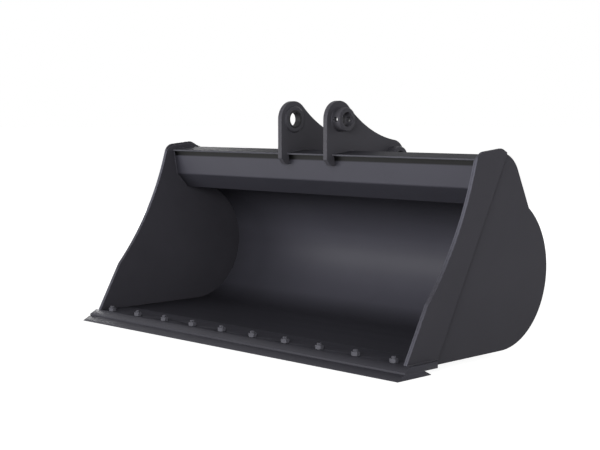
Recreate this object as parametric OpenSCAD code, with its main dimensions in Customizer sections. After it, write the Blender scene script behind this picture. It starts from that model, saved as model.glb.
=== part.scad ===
// Excavator ditching bucket: wide and shallow, welded from plate, with a bolt-on cutting edge.
// +X is the width, +Y runs from the cutting tip to the back and +Z is up, in millimetres.
// Every profile is drawn as [y, z]: y is counted from the cutting tip and z from the ground.
// The origin is on the ground, under the middle of the whole bucket.

/* [Bucket body] */
// Width over the two side cutters
cut_w = 1500; // [1000:10:2000]
// Thickness of a side plate
side_t = 6; // [5:1:16]
// Thickness of the rolled shell
shell_t = 10; // [6:1:16]
// Radius of the side plates' round heel
heel_r = 244; // [234:1:254]
// From the cutting tip to the middle of the heel
heel_y = 525; // [512:1:537]
// How far the flat bottom of the side plates stands above the lip plate's underside
bottom_up = 2.4; // [0:0.1:6]

/* [Side plates] */
// From the cutting tip to the foot of a side plate's front edge
cheek_y = 57; // [50:1:80]
// From the cutting tip to the knee in the front edge
knee_y = 150; // [120:1:180]
// Height of the knee in the front edge
knee_z = 202; // [160:1:240]
// Radius of the hollow front curve
throat_r = 1055; // [700:1:2400]
// How far the hollow curve ends in front of the top edge's front corner
throat_fwd = 10.5; // [6:0.5:16]
// How far the hollow curve ends below the top edge's front corner
throat_drop = 34; // [28:1:42]
// How far the top edge's front corner stands in front of the tube
crown_fwd = 20; // [10:1:30]
// How far the top edge's front corner stands above the tube's front edge
crown_up = 19.5; // [12:0.5:26]
// Rounding of the top edge's front corner
crown_r = 40; // [10:1:42]
// From the shoulder forward to the crest
crest_fwd = 79; // [60:1:95]
// From the shoulder up to the crest, the highest point
crest_up = 27; // [18:1:36]
// Rounding of the crest
crest_r = 40; // [10:1:60]
// How far the straight back edge runs on past the tube's rear bend
shoulder_l = 19; // [12:0.1:30]
// Rounding of the shoulder
shoulder_r = 105; // [30:1:130]

/* [Side cutters] */
// Thickness of a side cutter
cutter_t = 8; // [5:1:14]
// From the cutting tip to the foot of a cutter's back edge
cutter_foot_y = 199; // [175:1:220]
// How far a cutter's back corner stands behind the side plate's crest
cutter_back = 30; // [20:1:38]
// How far a cutter's back corner lies below the side plate's crest
cutter_fall = 8; // [4:1:14]
// How far a cutter's top stands above the side plate's
cutter_proud = 6.5; // [3:0.5:9]
// Rounding of the back corner of a cutter's top
cutter_r = 5; // [2:1:12]

/* [Lip and bolt-on edge] */
// Depth of the lip plate from front to back
lip_d = 150; // [120:1:180]
// Thickness of the lip plate
lip_t = 20; // [18:1:25]
// Height of the lip plate's square nose
lip_nose = 6; // [3:1:10]
// Depth of the bevel on top of the lip plate
lip_bevel = 26; // [15:1:28]
// From the cutting tip back to the nose of the lip plate
lip_set = 31; // [25:1:36]
// How far the lip and the edge stand out past each side cutter
lip_over = 15; // [5:1:30]
// Depth of the reversible bolt-on edge
edge_d = 150; // [140:1:160]
// Thickness of the bolt-on edge
edge_t = 16; // [12:1:20]
// Depth of the bevel along each side of the bolt-on edge
edge_bevel = 29; // [15:1:35]
// Height of the blunt land at each tip of the bolt-on edge
edge_land = 1.5; // [0.5:0.5:4]

/* [Edge bolts] */
// Diameter of a bolt
bolt_d = 16; // [12:1:18]
// Distance from bolt to bolt
bolt_pitch = 152.4; // [120:0.1:200]
// Least distance from the last bolt's axis to the side plate
bolt_margin = 40; // [30:1:60]
// Diameter of the countersunk head
head_d = 30; // [28:1:34]
// Height of the countersunk head's cone
head_h = 8; // [5:0.5:9]
// How deep the head sits above the edge's underside
head_sunk = 0.5; // [0.3:0.1:1.5]
// Width of a nut across its flats
nut_af = 24; // [22:1:30]
// Height of a nut
nut_h = 13; // [8:1:16]
// Length of bolt that stands out of its nut
bolt_end = 6.5; // [3:0.5:12]

/* [Torque tube] */
// Thickness of the folded top plate
top_t = 6; // [5:1:12]
// Thickness of the folded front plate
face_t = 10; // [6:1:12]
// Where the top plate comes down on the shell, in degrees round the heel from level
rear_a = 55.5; // [50:0.5:62]
// Length of the top plate's steep back
rear_l = 162.8; // [140:0.1:185]
// Fall of the top plate's steep back, in degrees
rear_fall = 63.2; // [58:0.1:68]
// Length of the slope from the rear bend up to the ridge
slope_l = 89.2; // [74:0.1:104]
// Fall of that slope, in degrees
slope_fall = 22.3; // [16:0.1:28]
// Outside radius of the top plate's bends
top_bend_r = 18; // [13:1:30]
// How far the top plate reaches out over the front plate
top_over = 9; // [3:1:16]
// Where the front plate meets the shell, in degrees round the heel from level
face_a = 99.1; // [94:0.1:103]
// Length of the front plate's lower leg
face_low_l = 74.1; // [64:0.1:88]
// Fall of the lower leg, in degrees
face_fall = 45.6; // [40:0.1:50]
// Length of the front plate's upright leg
face_up_l = 88.8; // [73:0.1:101]
// Lean of the upright leg to the front, in degrees
face_lean = 9.4; // [5:0.1:14]
// Outside radius of the front plate's bend
face_bend_r = 14; // [13:1:24]
// Thickness of a rib inside the tube
rib_t = 10; // [6:1:16]
// Size of the corners cut off a rib to clear the welds
rib_snip = 14; // [8:1:20]

/* [Hangers] */
// Thickness of a hanger
ear_t = 18; // [12:1:30]
// Clear distance between the two hangers
ear_gap = 202; // [150:1:280]
// Radius of the hanger round each pin
ear_r = 63.5; // [58:0.5:68]
// From the tube's front edge back to the dipper pin
dipper_back = 36.5; // [28:0.5:50]
// Height of the dipper pin above the tube's front edge
dipper_up = 118; // [100:1:140]
// From the tube's rear bend back to the link pin
link_back = 134.4; // [118:0.1:155]
// Height of the link pin above the tube's rear bend
link_up = 4.8; // [0:0.1:20]
// Radius of the hollow between the two pins
ear_dip_r = 440; // [350:1:700]
// How far the front foot reaches down below the tube's front edge
foot_drop = 39; // [32:1:50]
// Depth of the corner cut off the front foot
foot_snip_y = 18; // [8:1:22]
// Height of the corner cut off the front foot
foot_snip_z = 21; // [8:1:26]
// Height of the toe round the heel, in degrees from level
toe_a = 18; // [8:0.5:26]
// How far the toe stands out from the shell
toe_h = 28; // [15:1:40]

/* [Pin bosses] */
// Diameter of the dipper and link pins
pin_d = 50; // [40:1:54]
// Running clearance on the radius of a pin
pin_gap = 0.05; // [0.02:0.01:0.1]
// Outside diameter of a bush
bush_d = 64; // [60:1:68]
// Outside diameter of a wear ring
ring_d = 90; // [80:1:96]
// How far the bushes of the hanger without lock collars stand out of its outer face
bush_out = 3.5; // [0:0.5:8]
// Thickness of a wear ring
ring_t = 5; // [2:0.5:8]
// Outside diameter of a lock collar
collar_d = 80; // [74:1:90]
// Length of a lock collar
collar_l = 36; // [28:1:60]
// Diameter of the hole for the lock bolt
lock_d = 18; // [12:1:22]

/* [Hidden] */
// Gap left between a bolt and the plates that it passes through
hole_gap = 0.8;
// Gap between the bolt's thread and its nut, and round the countersunk head
thread_gap = 0.3;
// Gap between a bush and the bore that it is pressed into
press_gap = 0.02;
// How far every cut runs past what it cuts
over = 5;
// Size of a chamfer on a bolt end, a nut, a ring or a collar
chamfer = 2;
// Angle covered by one flat of a rounded corner, in degrees
arc_step = 3;
// Radius under which a corner is left square
no_r = 0;
// Faces round a whole circle, on plates and on pins
plate_fn = 180;
pin_fn = 96;
paint = "#47464c";
pin_steel = "#3b3a3f";
fastener = "#5c5b60";

// Places across the width, for the right-hand side
cutter_out = cut_w / 2;
side_out = cutter_out - cutter_t;
side_in = side_out - side_t;
lip_end = cutter_out + lip_over;
ear_in = ear_gap / 2;
ear_out = ear_in + ear_t;

// Levels, and the round heel of the shell
lip_rear = lip_set + lip_d;
floor_z = edge_t + lip_t;
heel = [heel_y, edge_t + bottom_up + heel_r];
shell_out_r = heel.y - floor_z + shell_t;
shell_in_r = heel.y - floor_z;

// Main points of the torque tube, on its outer faces, each leg laid on from the one before it
rear_foot = heel + shell_out_r * [cos(rear_a), sin(rear_a)];
rear_way = [cos(rear_fall), -sin(rear_fall)];
rear_bend = rear_foot - rear_l * rear_way;
ridge = rear_bend + slope_l * [-cos(slope_fall), sin(slope_fall)];
face_way = [cos(face_fall), -sin(face_fall)];
face_back = heel + shell_in_r * [cos(face_a), sin(face_a)] - face_low_l * face_way;
face_bend = face_back - face_t * left_of(face_way);
face_end = face_bend + face_low_l * face_way;
face_top = face_bend + face_up_l * [-sin(face_lean), cos(face_lean)];
top_front = face_top + [-top_over, top_t];

// Main points of the side plates and cutters: they stand as far out behind the tube as round the heel
cheek = [cheek_y, floor_z];
knee = [knee_y, knee_z];
crown = top_front + [-crown_fwd, crown_up];
throat = crown - [throat_fwd, throat_drop];
side_proud = heel_r - shell_out_r;
back_edge = rear_bend + side_proud * left_of(rear_way);
shoulder = back_edge - shoulder_l * rear_way;
crest = shoulder + [-crest_fwd, crest_up];
back_join = back_edge + meet(back_edge, rear_way, heel, heel_r) * rear_way;
cutter_foot = [cutter_foot_y, floor_z];
cutter_crest = crest + [0, cutter_proud];
cutter_top = crest + [cutter_back, -cutter_fall];

// Pins, and the points where the hanger's outline changes
dipper = top_front + [dipper_back, dipper_up];
link = rear_bend + [link_back, link_up];
foot = top_front + [dipper_back - ear_r, -foot_drop];
ear_dip = link + dip_reach(dipper, link, ear_dip_r + ear_r);
toe = heel + (shell_out_r + toe_h) * [cos(toe_a), sin(toe_a)];
depth = max(link.x + ear_r, heel.x + heel_r);

// Bolts of the cutting edge, counted from the width between the side plates
bolt_n = floor((2 * side_in - 2 * bolt_margin) / bolt_pitch) + 1;
bolt_xs = [for (i = [0:bolt_n - 1]) (i - (bolt_n - 1) / 2) * bolt_pitch];
bolt_y = edge_d / 2 - depth / 2;
nut_top = floor_z + nut_h;
bolt_top = nut_top + bolt_end;
bore_r = pin_d / 2 + pin_gap;

// Unit vector of a direction, and the unit vector that points to its left
function unit(v) = v / norm(v);
function left_of(v) = [-unit(v).y, unit(v).x];

// How far a line from p along the unit vector way runs until it enters a circle
function meet(p, way, centre, r) =
    let (d = (p - centre) * way)
    -d - sqrt(d * d - (p - centre) * (p - centre) + r * r);

// From the second of two equal circles to the middle of a hollow that touches both from above
function dip_reach(a, b, r) =
    (a - b) / 2 + left_of(b - a) * sqrt(r * r - (b - a) * (b - a) / 4);

// Direction from a circle's middle to where a line from the point v touches it, on its far side
function tangent_way(v, r) = way_of(v) + acos(r / norm(v));

// Points of an arc round centre, from one direction to another, in degrees
function arc(centre, r, from, to) =
    let (n = ceil(abs(to - from) / arc_step))
    [for (i = [0:n]) centre + r * [cos(from + (to - from) * i / n), sin(from + (to - from) * i / n)]];

// Direction of a vector, in degrees
function way_of(v) = atan2(v.y, v.x);

// Middle of the circle of radius r through a and b, on the left of the way from a to b
function arc_middle(a, b, r) =
    (a + b) / 2 + left_of(b - a) * sqrt(r * r - (b - a) * (b - a) / 4);

// Points of the arc of radius r that rounds the corner b between a and c
function corner_points(a, b, c, r) =
    let (u = unit(a - b), v = unit(c - b), half = acos(u * v) / 2)
    let (centre = b + unit(u + v) * r / sin(half), turn = 180 - 2 * half)
    let (side = sign(u.x * v.y - u.y * v.x), start = b + u * r / tan(half) - centre)
    let (from = atan2(start.y, start.x), n = ceil(turn / arc_step))
    [for (i = [0:n]) centre + r * [cos(from - side * turn * i / n), sin(from - side * turn * i / n)]];

// Points of a closed outline whose corners are given as [point, radius]
function rounded(corners) =
    let (n = len(corners))
    [for (i = [0:n - 1]) each corners[i][1] <= no_r ? [corners[i][0]]
        : corner_points(corners[(i + n - 1) % n][0], corners[i][0], corners[(i + 1) % n][0], corners[i][1])];

// A path moved sideways by t, to its left, with its corners mitred
function beside(path, t) =
    let (n = len(path) - 1)
    [for (i = [0:n])
        let (before = left_of(path[max(i, 1)] - path[max(i, 1) - 1]))
        let (after = left_of(path[min(i, n - 1) + 1] - path[min(i, n - 1)]))
        path[i] + t * (before + after) / (1 + before * after)];

// Outline of a plate of thickness t folded along a path, its bends rounded to r on the path's side
function folded(path, t, r) =
    let (n = len(path) - 1, other = beside(path, t))
    rounded([for (i = [0:n]) [path[i], i == 0 || i == n ? no_r : r],
        for (i = [n:-1:0]) [other[i], i == 0 || i == n ? no_r : r - abs(t)]]);

// Carries a profile [y, z] across the width, from x0 to x1
module across(x0, x1) {
    translate([x0, -depth / 2, 0]) rotate([90, 0, 90]) linear_extrude(x1 - x0) children();
}

// Lays a round piece that is drawn upright along +X, with its foot at x and its axis at p = [y, z]
module at_pin(p, x) {
    translate([x, p.x - depth / 2, p.y]) rotate([0, 90, 0]) children();
}

// The left-hand copy of a right-hand piece
module to_left() {
    mirror([1, 0, 0]) children();
}

// The hollow front curve of a side plate or cutter
module throat_cut() {
    translate(arc_middle(knee, throat, throat_r)) circle(r = throat_r, $fn = plate_fn);
}

// The heel is round from the foot of the straight back edge to the flat bottom
module side_profile() {
    difference() {
        polygon(concat(rounded([[cheek, no_r], [knee, no_r], [throat, no_r],
            [crown - [0, cutter_proud], crown_r], [crest, crest_r], [shoulder, shoulder_r],
            [back_join, no_r]]), arc(heel, heel_r, way_of(back_join - heel), -90),
            [[lip_rear, edge_t + bottom_up], [lip_rear, floor_z]]));
        throat_cut();
    }
}

module cutter_profile() {
    difference() {
        polygon(rounded([[cheek, no_r], [knee, no_r], [throat, no_r], [crown, crown_r],
            [cutter_crest, crest_r], [cutter_top, cutter_r], [cutter_foot, no_r]]));
        throat_cut();
    }
}

// The shell: a flat floor, then a round back up to the tube's front plate
module shell_profile() {
    translate([lip_rear, floor_z - shell_t]) square([heel_y - lip_rear, shell_t]);
    difference() {
        translate(heel) circle(r = shell_out_r, $fn = plate_fn);
        translate(heel) circle(r = shell_in_r, $fn = plate_fn);
        polygon([heel, [heel_y, -over], [-over, -over], [-over, face_top.y],
            face_top, face_back, face_end + face_t * left_of(face_way)]);
    }
}

module top_plate_profile() {
    difference() {
        polygon(folded([top_front, ridge, rear_bend, rear_foot + top_t * rear_way], -top_t, top_bend_r));
        translate(heel) circle(r = shell_out_r, $fn = plate_fn);
    }
}

module front_plate_profile() {
    up = unit(face_top - face_bend);
    difference() {
        polygon(folded([face_top + top_t * up, face_bend, face_end], face_t, face_bend_r));
        polygon([top_front, ridge, ridge + [0, face_up_l], top_front + [0, face_up_l]]);
        top_plate_profile();
    }
}

// Everything that the closed tube and the shell's round back fill, seen from the side
module tube_block() {
    polygon(rounded([[top_front, no_r], [ridge, top_bend_r], [rear_bend, top_bend_r], [rear_foot, no_r],
        [heel, no_r], [face_end, no_r], [face_bend, face_bend_r], [face_top, no_r]]));
    translate(heel) circle(r = shell_out_r, $fn = plate_fn);
}

// A rib fills the tube, with its corners snipped square so that it clears the welds
module rib_profile() {
    under_top = beside([top_front, ridge, rear_bend, rear_foot], -top_t);
    difference() {
        polygon([face_top, under_top[1], under_top[2], under_top[3], heel, face_end, face_back]);
        top_plate_profile();
        front_plate_profile();
        translate(heel) circle(r = shell_out_r, $fn = plate_fn);
        for (p = [face_top, rear_bend, rear_foot, face_back])
            translate(p) rotate(rear_fall) square(2 * rib_snip, center = true);
    }
}

// Round both pins and hollow between them, then down to the toe, with a foot in front of the tube
module ear_profile() {
    over_dipper = way_of(ear_dip - dipper);
    over_link = way_of(ear_dip - link);
    difference() {
        polygon(concat(arc(dipper, ear_r, 180, over_dipper),
            arc(ear_dip, ear_dip_r, over_dipper - 180, over_link - 180),
            arc(link, ear_r, over_link, tangent_way(toe - link, ear_r)),
            [toe, heel, face_end, face_back, [face_back.x, foot.y],
            foot + [foot_snip_y, 0], foot + [0, foot_snip_z]]));
        tube_block();
        top_plate_profile();
    }
}

module side_plate() {
    color(paint) across(side_in, side_out) side_profile();
}

module side_plate_left() {
    to_left() side_plate();
}

module side_plate_right() {
    side_plate();
}

module side_cutter() {
    color(paint) across(side_out, cutter_out) cutter_profile();
}

module side_cutter_left() {
    to_left() side_cutter();
}

module side_cutter_right() {
    side_cutter();
}

module shell_wrapper() {
    color(paint) across(-side_in, side_in) shell_profile();
}

// The lip plate, with a clearance hole for each bolt
module lip_plate() {
    color(paint) difference() {
        across(-lip_end, lip_end) polygon([[lip_set, edge_t], [lip_set, edge_t + lip_nose],
            [lip_set + lip_bevel, floor_z], [lip_rear, floor_z], [lip_rear, edge_t]]);
        for (x = bolt_xs) translate([x, bolt_y, edge_t - over])
            cylinder(h = lip_t + 2 * over, d = bolt_d + 2 * hole_gap, $fn = pin_fn);
    }
}

// The countersunk head and square neck of a bolt, made larger by gap
module bolt_seat(gap) {
    translate([0, 0, head_sunk]) cylinder(h = head_h, d1 = head_d + 2 * gap, d2 = bolt_d + 2 * gap, $fn = pin_fn);
    translate([-bolt_d / 2 - gap, -bolt_d / 2 - gap, head_sunk + head_h / 2])
        cube([bolt_d + 2 * gap, bolt_d + 2 * gap, edge_t - head_sunk - head_h / 2]);
}

// The reversible cutting edge, bevelled along both sides
module bolt_on_edge() {
    color(paint) difference() {
        across(-lip_end, lip_end) polygon([[0, 0], [edge_d, 0], [edge_d, edge_land],
            [edge_d - edge_bevel, edge_t], [edge_bevel, edge_t], [0, edge_land]]);
        for (x = bolt_xs) translate([x, bolt_y, 0]) {
            bolt_seat(thread_gap);
            translate([0, 0, -over]) cylinder(h = over + head_sunk, d = head_d + 2 * thread_gap, $fn = pin_fn);
            translate([0, 0, edge_t - over]) cylinder(h = 2 * over, d = bolt_d, $fn = pin_fn);
        }
    }
}

// One plough bolt: countersunk head, square neck, shank and a chamfered end
module plough_bolt() {
    bolt_seat(0);
    translate([0, 0, head_sunk + head_h / 2])
        cylinder(h = bolt_top - chamfer - head_sunk - head_h / 2, d = bolt_d, $fn = pin_fn);
    translate([0, 0, bolt_top - chamfer]) cylinder(h = chamfer, d1 = bolt_d, d2 = bolt_d - 2 * chamfer, $fn = pin_fn);
}

module edge_bolts() {
    color(fastener) for (x = bolt_xs) translate([x, bolt_y, 0]) plough_bolt();
}

// One hexagon nut, its top corners turned off
module hex_nut() {
    corner_d = nut_af / cos(180 / 6);
    difference() {
        intersection() {
            cylinder(h = nut_h, d = corner_d, $fn = 6);
            union() {
                cylinder(h = nut_h - chamfer, d = corner_d + over, $fn = pin_fn);
                translate([0, 0, nut_h - chamfer])
                    cylinder(h = chamfer, d1 = corner_d + chamfer, d2 = nut_af - chamfer, $fn = pin_fn);
            }
        }
        translate([0, 0, -over]) cylinder(h = nut_h + 2 * over, d = bolt_d + 2 * thread_gap, $fn = pin_fn);
    }
}

module edge_nuts() {
    color(fastener) for (x = bolt_xs) translate([x, bolt_y, floor_z]) hex_nut();
}

module tube_top_plate() {
    color(paint) across(-side_in, side_in) top_plate_profile();
}

module tube_front_plate() {
    color(paint) across(-side_in, side_in) front_plate_profile();
}

module tube_rib() {
    middle = ear_in + ear_t / 2;
    color(paint) across(middle - rib_t / 2, middle + rib_t / 2) rib_profile();
}

module tube_rib_left() {
    to_left() tube_rib();
}

module tube_rib_right() {
    tube_rib();
}

// A hanger, bored for the bush at each pin
module hanger() {
    color(paint) difference() {
        across(ear_in, ear_out) ear_profile();
        for (p = [dipper, link]) at_pin(p, ear_in - over)
            cylinder(h = ear_t + 2 * over, d = bush_d + 2 * press_gap, $fn = pin_fn);
    }
}

module hanger_left() {
    to_left() hanger();
}

module hanger_right() {
    hanger();
}

// A round sleeve of length l that stands on its end, chamfered outside at its far end
module sleeve(outer_d, inner_d, l) {
    difference() {
        union() {
            cylinder(h = l - chamfer, d = outer_d, $fn = pin_fn);
            translate([0, 0, l - chamfer]) cylinder(h = chamfer, d1 = outer_d, d2 = outer_d - 2 * chamfer, $fn = pin_fn);
        }
        translate([0, 0, -over]) cylinder(h = l + 2 * over, d = inner_d, $fn = pin_fn);
    }
}

// A hardened bush through the hanger and its wear ring, which stands out of the hanger by out
module bush(p, out) {
    color(pin_steel) at_pin(p, ear_in - ring_t) difference() {
        cylinder(h = ring_t + ear_t + out, d = bush_d, $fn = pin_fn);
        translate([0, 0, -over]) cylinder(h = ring_t + ear_t + out + 2 * over, r = bore_r, $fn = pin_fn);
    }
}

module dipper_bush_left() {
    to_left() bush(dipper, bush_out);
}

module dipper_bush_right() {
    bush(dipper, 0);
}

module link_bush_left() {
    to_left() bush(link, bush_out);
}

module link_bush_right() {
    bush(link, 0);
}

// A wear ring on the inner face of a hanger, round the end of the bush
module wear_ring(p) {
    color(paint) at_pin(p, ear_in) mirror([0, 0, 1]) sleeve(ring_d, bush_d + 2 * press_gap, ring_t);
}

module dipper_ring_left() {
    to_left() wear_ring(dipper);
}

module dipper_ring_right() {
    wear_ring(dipper);
}

module link_ring_left() {
    to_left() wear_ring(link);
}

module link_ring_right() {
    wear_ring(link);
}

// A collar on the right hanger's outer face, with a cross hole for the bolt that locks the pin
module lock_collar(p) {
    color(paint) difference() {
        at_pin(p, ear_out) sleeve(collar_d, 2 * bore_r, collar_l);
        translate([ear_out + collar_l / 2, p.x - depth / 2, p.y]) rotate([90, 0, 0])
            cylinder(h = collar_d + 2 * over, d = lock_d, center = true, $fn = pin_fn);
    }
}

module dipper_lock_collar() {
    lock_collar(dipper);
}

module link_lock_collar() {
    lock_collar(link);
}

shell_wrapper();
side_plate_left();
side_plate_right();
side_cutter_left();
side_cutter_right();
lip_plate();
bolt_on_edge();
edge_bolts();
edge_nuts();
tube_top_plate();
tube_front_plate();
tube_rib_left();
tube_rib_right();
hanger_left();
hanger_right();
dipper_bush_left();
dipper_bush_right();
link_bush_left();
link_bush_right();
dipper_ring_left();
dipper_ring_right();
link_ring_left();
link_ring_right();
dipper_lock_collar();
link_lock_collar();
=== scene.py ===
"""Excavator ditching bucket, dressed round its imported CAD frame.

Sizes in the classes are millimetres, as in the part's source. A profile is a list of [y, z] points: y is
counted from the cutting tip to the back and z from the ground. Meshes are in metres in the frame's axes,
with +X across the width, +Y to the back and +Z up.
"""
import logging
import math
from dataclasses import dataclass, field
from enum import Enum
from functools import cached_property
from typing import Any, Sequence

import bmesh
import bpy
import numpy as np
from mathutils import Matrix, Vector
from mathutils.geometry import tessellate_polygon


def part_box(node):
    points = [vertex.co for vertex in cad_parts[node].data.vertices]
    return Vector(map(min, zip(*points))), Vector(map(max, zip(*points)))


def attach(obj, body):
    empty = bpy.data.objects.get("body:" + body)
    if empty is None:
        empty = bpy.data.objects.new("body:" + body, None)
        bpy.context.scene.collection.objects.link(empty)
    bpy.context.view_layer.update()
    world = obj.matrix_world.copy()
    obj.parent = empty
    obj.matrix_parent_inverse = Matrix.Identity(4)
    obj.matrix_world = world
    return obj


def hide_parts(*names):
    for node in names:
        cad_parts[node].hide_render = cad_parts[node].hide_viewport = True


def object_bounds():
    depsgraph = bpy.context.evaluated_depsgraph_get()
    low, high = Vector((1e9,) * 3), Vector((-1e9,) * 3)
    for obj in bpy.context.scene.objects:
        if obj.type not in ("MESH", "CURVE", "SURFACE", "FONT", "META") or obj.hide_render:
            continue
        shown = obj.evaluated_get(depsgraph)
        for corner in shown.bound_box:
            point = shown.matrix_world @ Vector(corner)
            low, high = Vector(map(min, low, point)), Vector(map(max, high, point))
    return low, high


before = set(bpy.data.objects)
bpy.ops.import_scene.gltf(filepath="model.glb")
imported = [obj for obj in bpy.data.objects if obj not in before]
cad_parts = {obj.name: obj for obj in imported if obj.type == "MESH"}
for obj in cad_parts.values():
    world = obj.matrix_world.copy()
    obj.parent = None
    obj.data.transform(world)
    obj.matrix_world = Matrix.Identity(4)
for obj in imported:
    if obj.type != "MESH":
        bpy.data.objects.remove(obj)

CAD_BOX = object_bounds()

log = logging.getLogger("bucket")

MM = 0.001  # a millimetre in metres
ARC_STEP = 2.0  # largest angle between two points of an arc, in degrees
FINE_STEP = 1.0  # the same on wide, slow curves
BORE_STEP = 3.0  # the same round a bore in a plate
RING_STEP = 4.0  # the same round a boss, under its bead
SAME_POINT = 1e-4  # points closer than this, in millimetres, are one
SHARP_TURN = 12.0  # a corner that turns further, in degrees, is eased
ROOM_SHARE = 0.45  # share of a side that a corner's easing may take
RIM_STEPS = 3  # faces across a plate's rounded edge
CLOSED_R = 0.02  # radius of the pole that closes a bolt's ends, in millimetres

MERGE = 1e-6  # distance under which a copied CAD corner is merged, in metres
FLAT_TURN = 0.2  # faces that turn less, in degrees, become one
BEVEL_TURN = 35.0  # edges that turn more, in degrees, are bevelled

BEAD_POINTS = 6  # points across a weld bead
BEAD_POWER = 1.35  # fills out the bead's round face
BEAD_SUNK = 0.3  # how far a bead's back stands inside its corner, in millimetres
BEAD_LEAN = 0.95  # share of its leg that a bead reaches between ripples
RIPPLE = 0.07  # swell of a ripple, as a share of the leg
RIPPLE_LAG = 0.35  # how far a ripple's middle is drawn back, as a share of the pitch
RIPPLE_POINTS = 4  # rows of points in each ripple
HAND_SWAY = 0.04  # slow swell along a bead
SWAY_LENGTH = 23.7  # its length over one radian, in millimetres

Points = np.ndarray
Colour = tuple[float, float, float]


class Body(Enum):
    """CAD bodies that a piece can ride on."""

    BUCKET = "bucket"
    EDGE = "cutting_edge"
    NUTS = "nuts"


class Slot(Enum):
    """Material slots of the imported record."""

    BODY = "body_paint"
    CUTTER = "cutter_paint"
    EDGE = "edge_paint"
    HANGER = "hanger_paint"
    BUSH = "bush_steel"
    FASTENER = "fastener_steel"


class Side(Enum):
    """The two sides of the bucket, with the sign of their X."""

    LEFT = -1
    RIGHT = 1

    @property
    def word(self) -> str:
        """The side's word in the names of pieces and nodes."""
        return self.name.lower()


# Plane geometry -------------------------------------------------------------------------------------------


def unit(v: Points) -> Points:
    """Vectors shortened to length one."""
    v = np.asarray(v, float)
    return v / np.maximum(np.linalg.norm(v, axis=-1, keepdims=True), 1e-12)


def left_of(v: Points) -> Points:
    """Unit vectors that point to the left of plane vectors."""
    u = unit(v)
    return np.stack([-u[..., 1], u[..., 0]], -1)


def way(degrees: float) -> Points:
    """Unit vector at an angle from +Y towards +Z."""
    return np.array([math.cos(math.radians(degrees)), math.sin(math.radians(degrees))])


def way_of(v: Points) -> float:
    """Angle of a plane vector, in degrees."""
    return math.degrees(math.atan2(v[1], v[0]))


def arc(centre: Points, radius: float, start: float, end: float, step: float = ARC_STEP) -> Points:
    """Points of an arc: the centre plus the radius times the cosine and sine of evenly spaced angles.

    Args:
        centre: Middle of the arc.
        radius: Radius of the arc.
        start: First angle, in degrees.
        end: Last angle, in degrees.
        step: Largest angle between two points.

    Returns:
        Array of points, one a row.
    """
    count = max(2, math.ceil(abs(end - start) / step) + 1)
    angles = np.radians(np.linspace(start, end, count))
    return np.asarray(centre) + radius * np.stack([np.cos(angles), np.sin(angles)], -1)


def circle_middle(a: Points, b: Points, radius: float) -> Points:
    """Middle of the circle of a radius through a and b, on the left of the way from a to b."""
    chord = b - a
    return (a + b) / 2 + left_of(chord) * math.sqrt(radius**2 - chord @ chord / 4)


def crossing(p: Points, d: Points, q: Points, e: Points) -> Points:
    """Point where the line through p along d crosses the line through q along e."""
    share = ((q[0] - p[0]) * e[1] - (q[1] - p[1]) * e[0]) / (d[0] * e[1] - d[1] * e[0])
    return p + share * d


def meet(p: Points, d: Points, centre: Points, radius: float) -> Points:
    """Point where a line from p along the unit vector d enters a circle."""
    along = (p - centre) @ d
    return p + (-along - math.sqrt(along**2 - (p - centre) @ (p - centre) + radius**2)) * d


def rounded(corners: Sequence[tuple[Points, float]], closed: bool = True) -> Points:
    """Outline whose corners are rounded, each to its own radius.

    A corner's arc has its middle on the bisector of its two sides, the radius over the sine of half the
    angle away from the corner, and turns from one side's foot to the other's.

    Args:
        corners: Corner points and their radii; a radius of zero leaves the corner.
        closed: Whether the last corner is joined to the first.

    Returns:
        Array of points, one a row.
    """
    parts, n = [], len(corners)
    for i, (b, radius) in enumerate(corners):
        b = np.asarray(b, float)
        if radius <= 0 or (not closed and i in (0, n - 1)):
            parts.append(b[None])
            continue
        u = unit(np.asarray(corners[i - 1][0]) - b)
        v = unit(np.asarray(corners[(i + 1) % n][0]) - b)
        half = math.acos(float(u @ v)) / 2
        centre = b + unit(u + v) * radius / math.sin(half)
        start = way_of(b + u * radius / math.tan(half) - centre)
        turn = 180 - 2 * math.degrees(half)
        side = math.copysign(1, u[0] * v[1] - u[1] * v[0])
        parts.append(arc(centre, radius, start, start - side * turn))
    return np.concatenate(parts)


def beside(path: Points, shift: float) -> Points:
    """Path moved sideways: a corner moves along the sum of both sides' normals over one plus their product.

    Args:
        path: Points of the path, one a row.
        shift: Distance that it moves to its left.

    Returns:
        The moved points, with the corners mitred.
    """
    path = np.asarray(path, float)
    sides = left_of(np.diff(path, axis=0))
    before, after = np.vstack([sides[:1], sides]), np.vstack([sides, sides[-1:]])
    return path + shift * (before + after) / (1 + np.sum(before * after, -1, keepdims=True))


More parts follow.
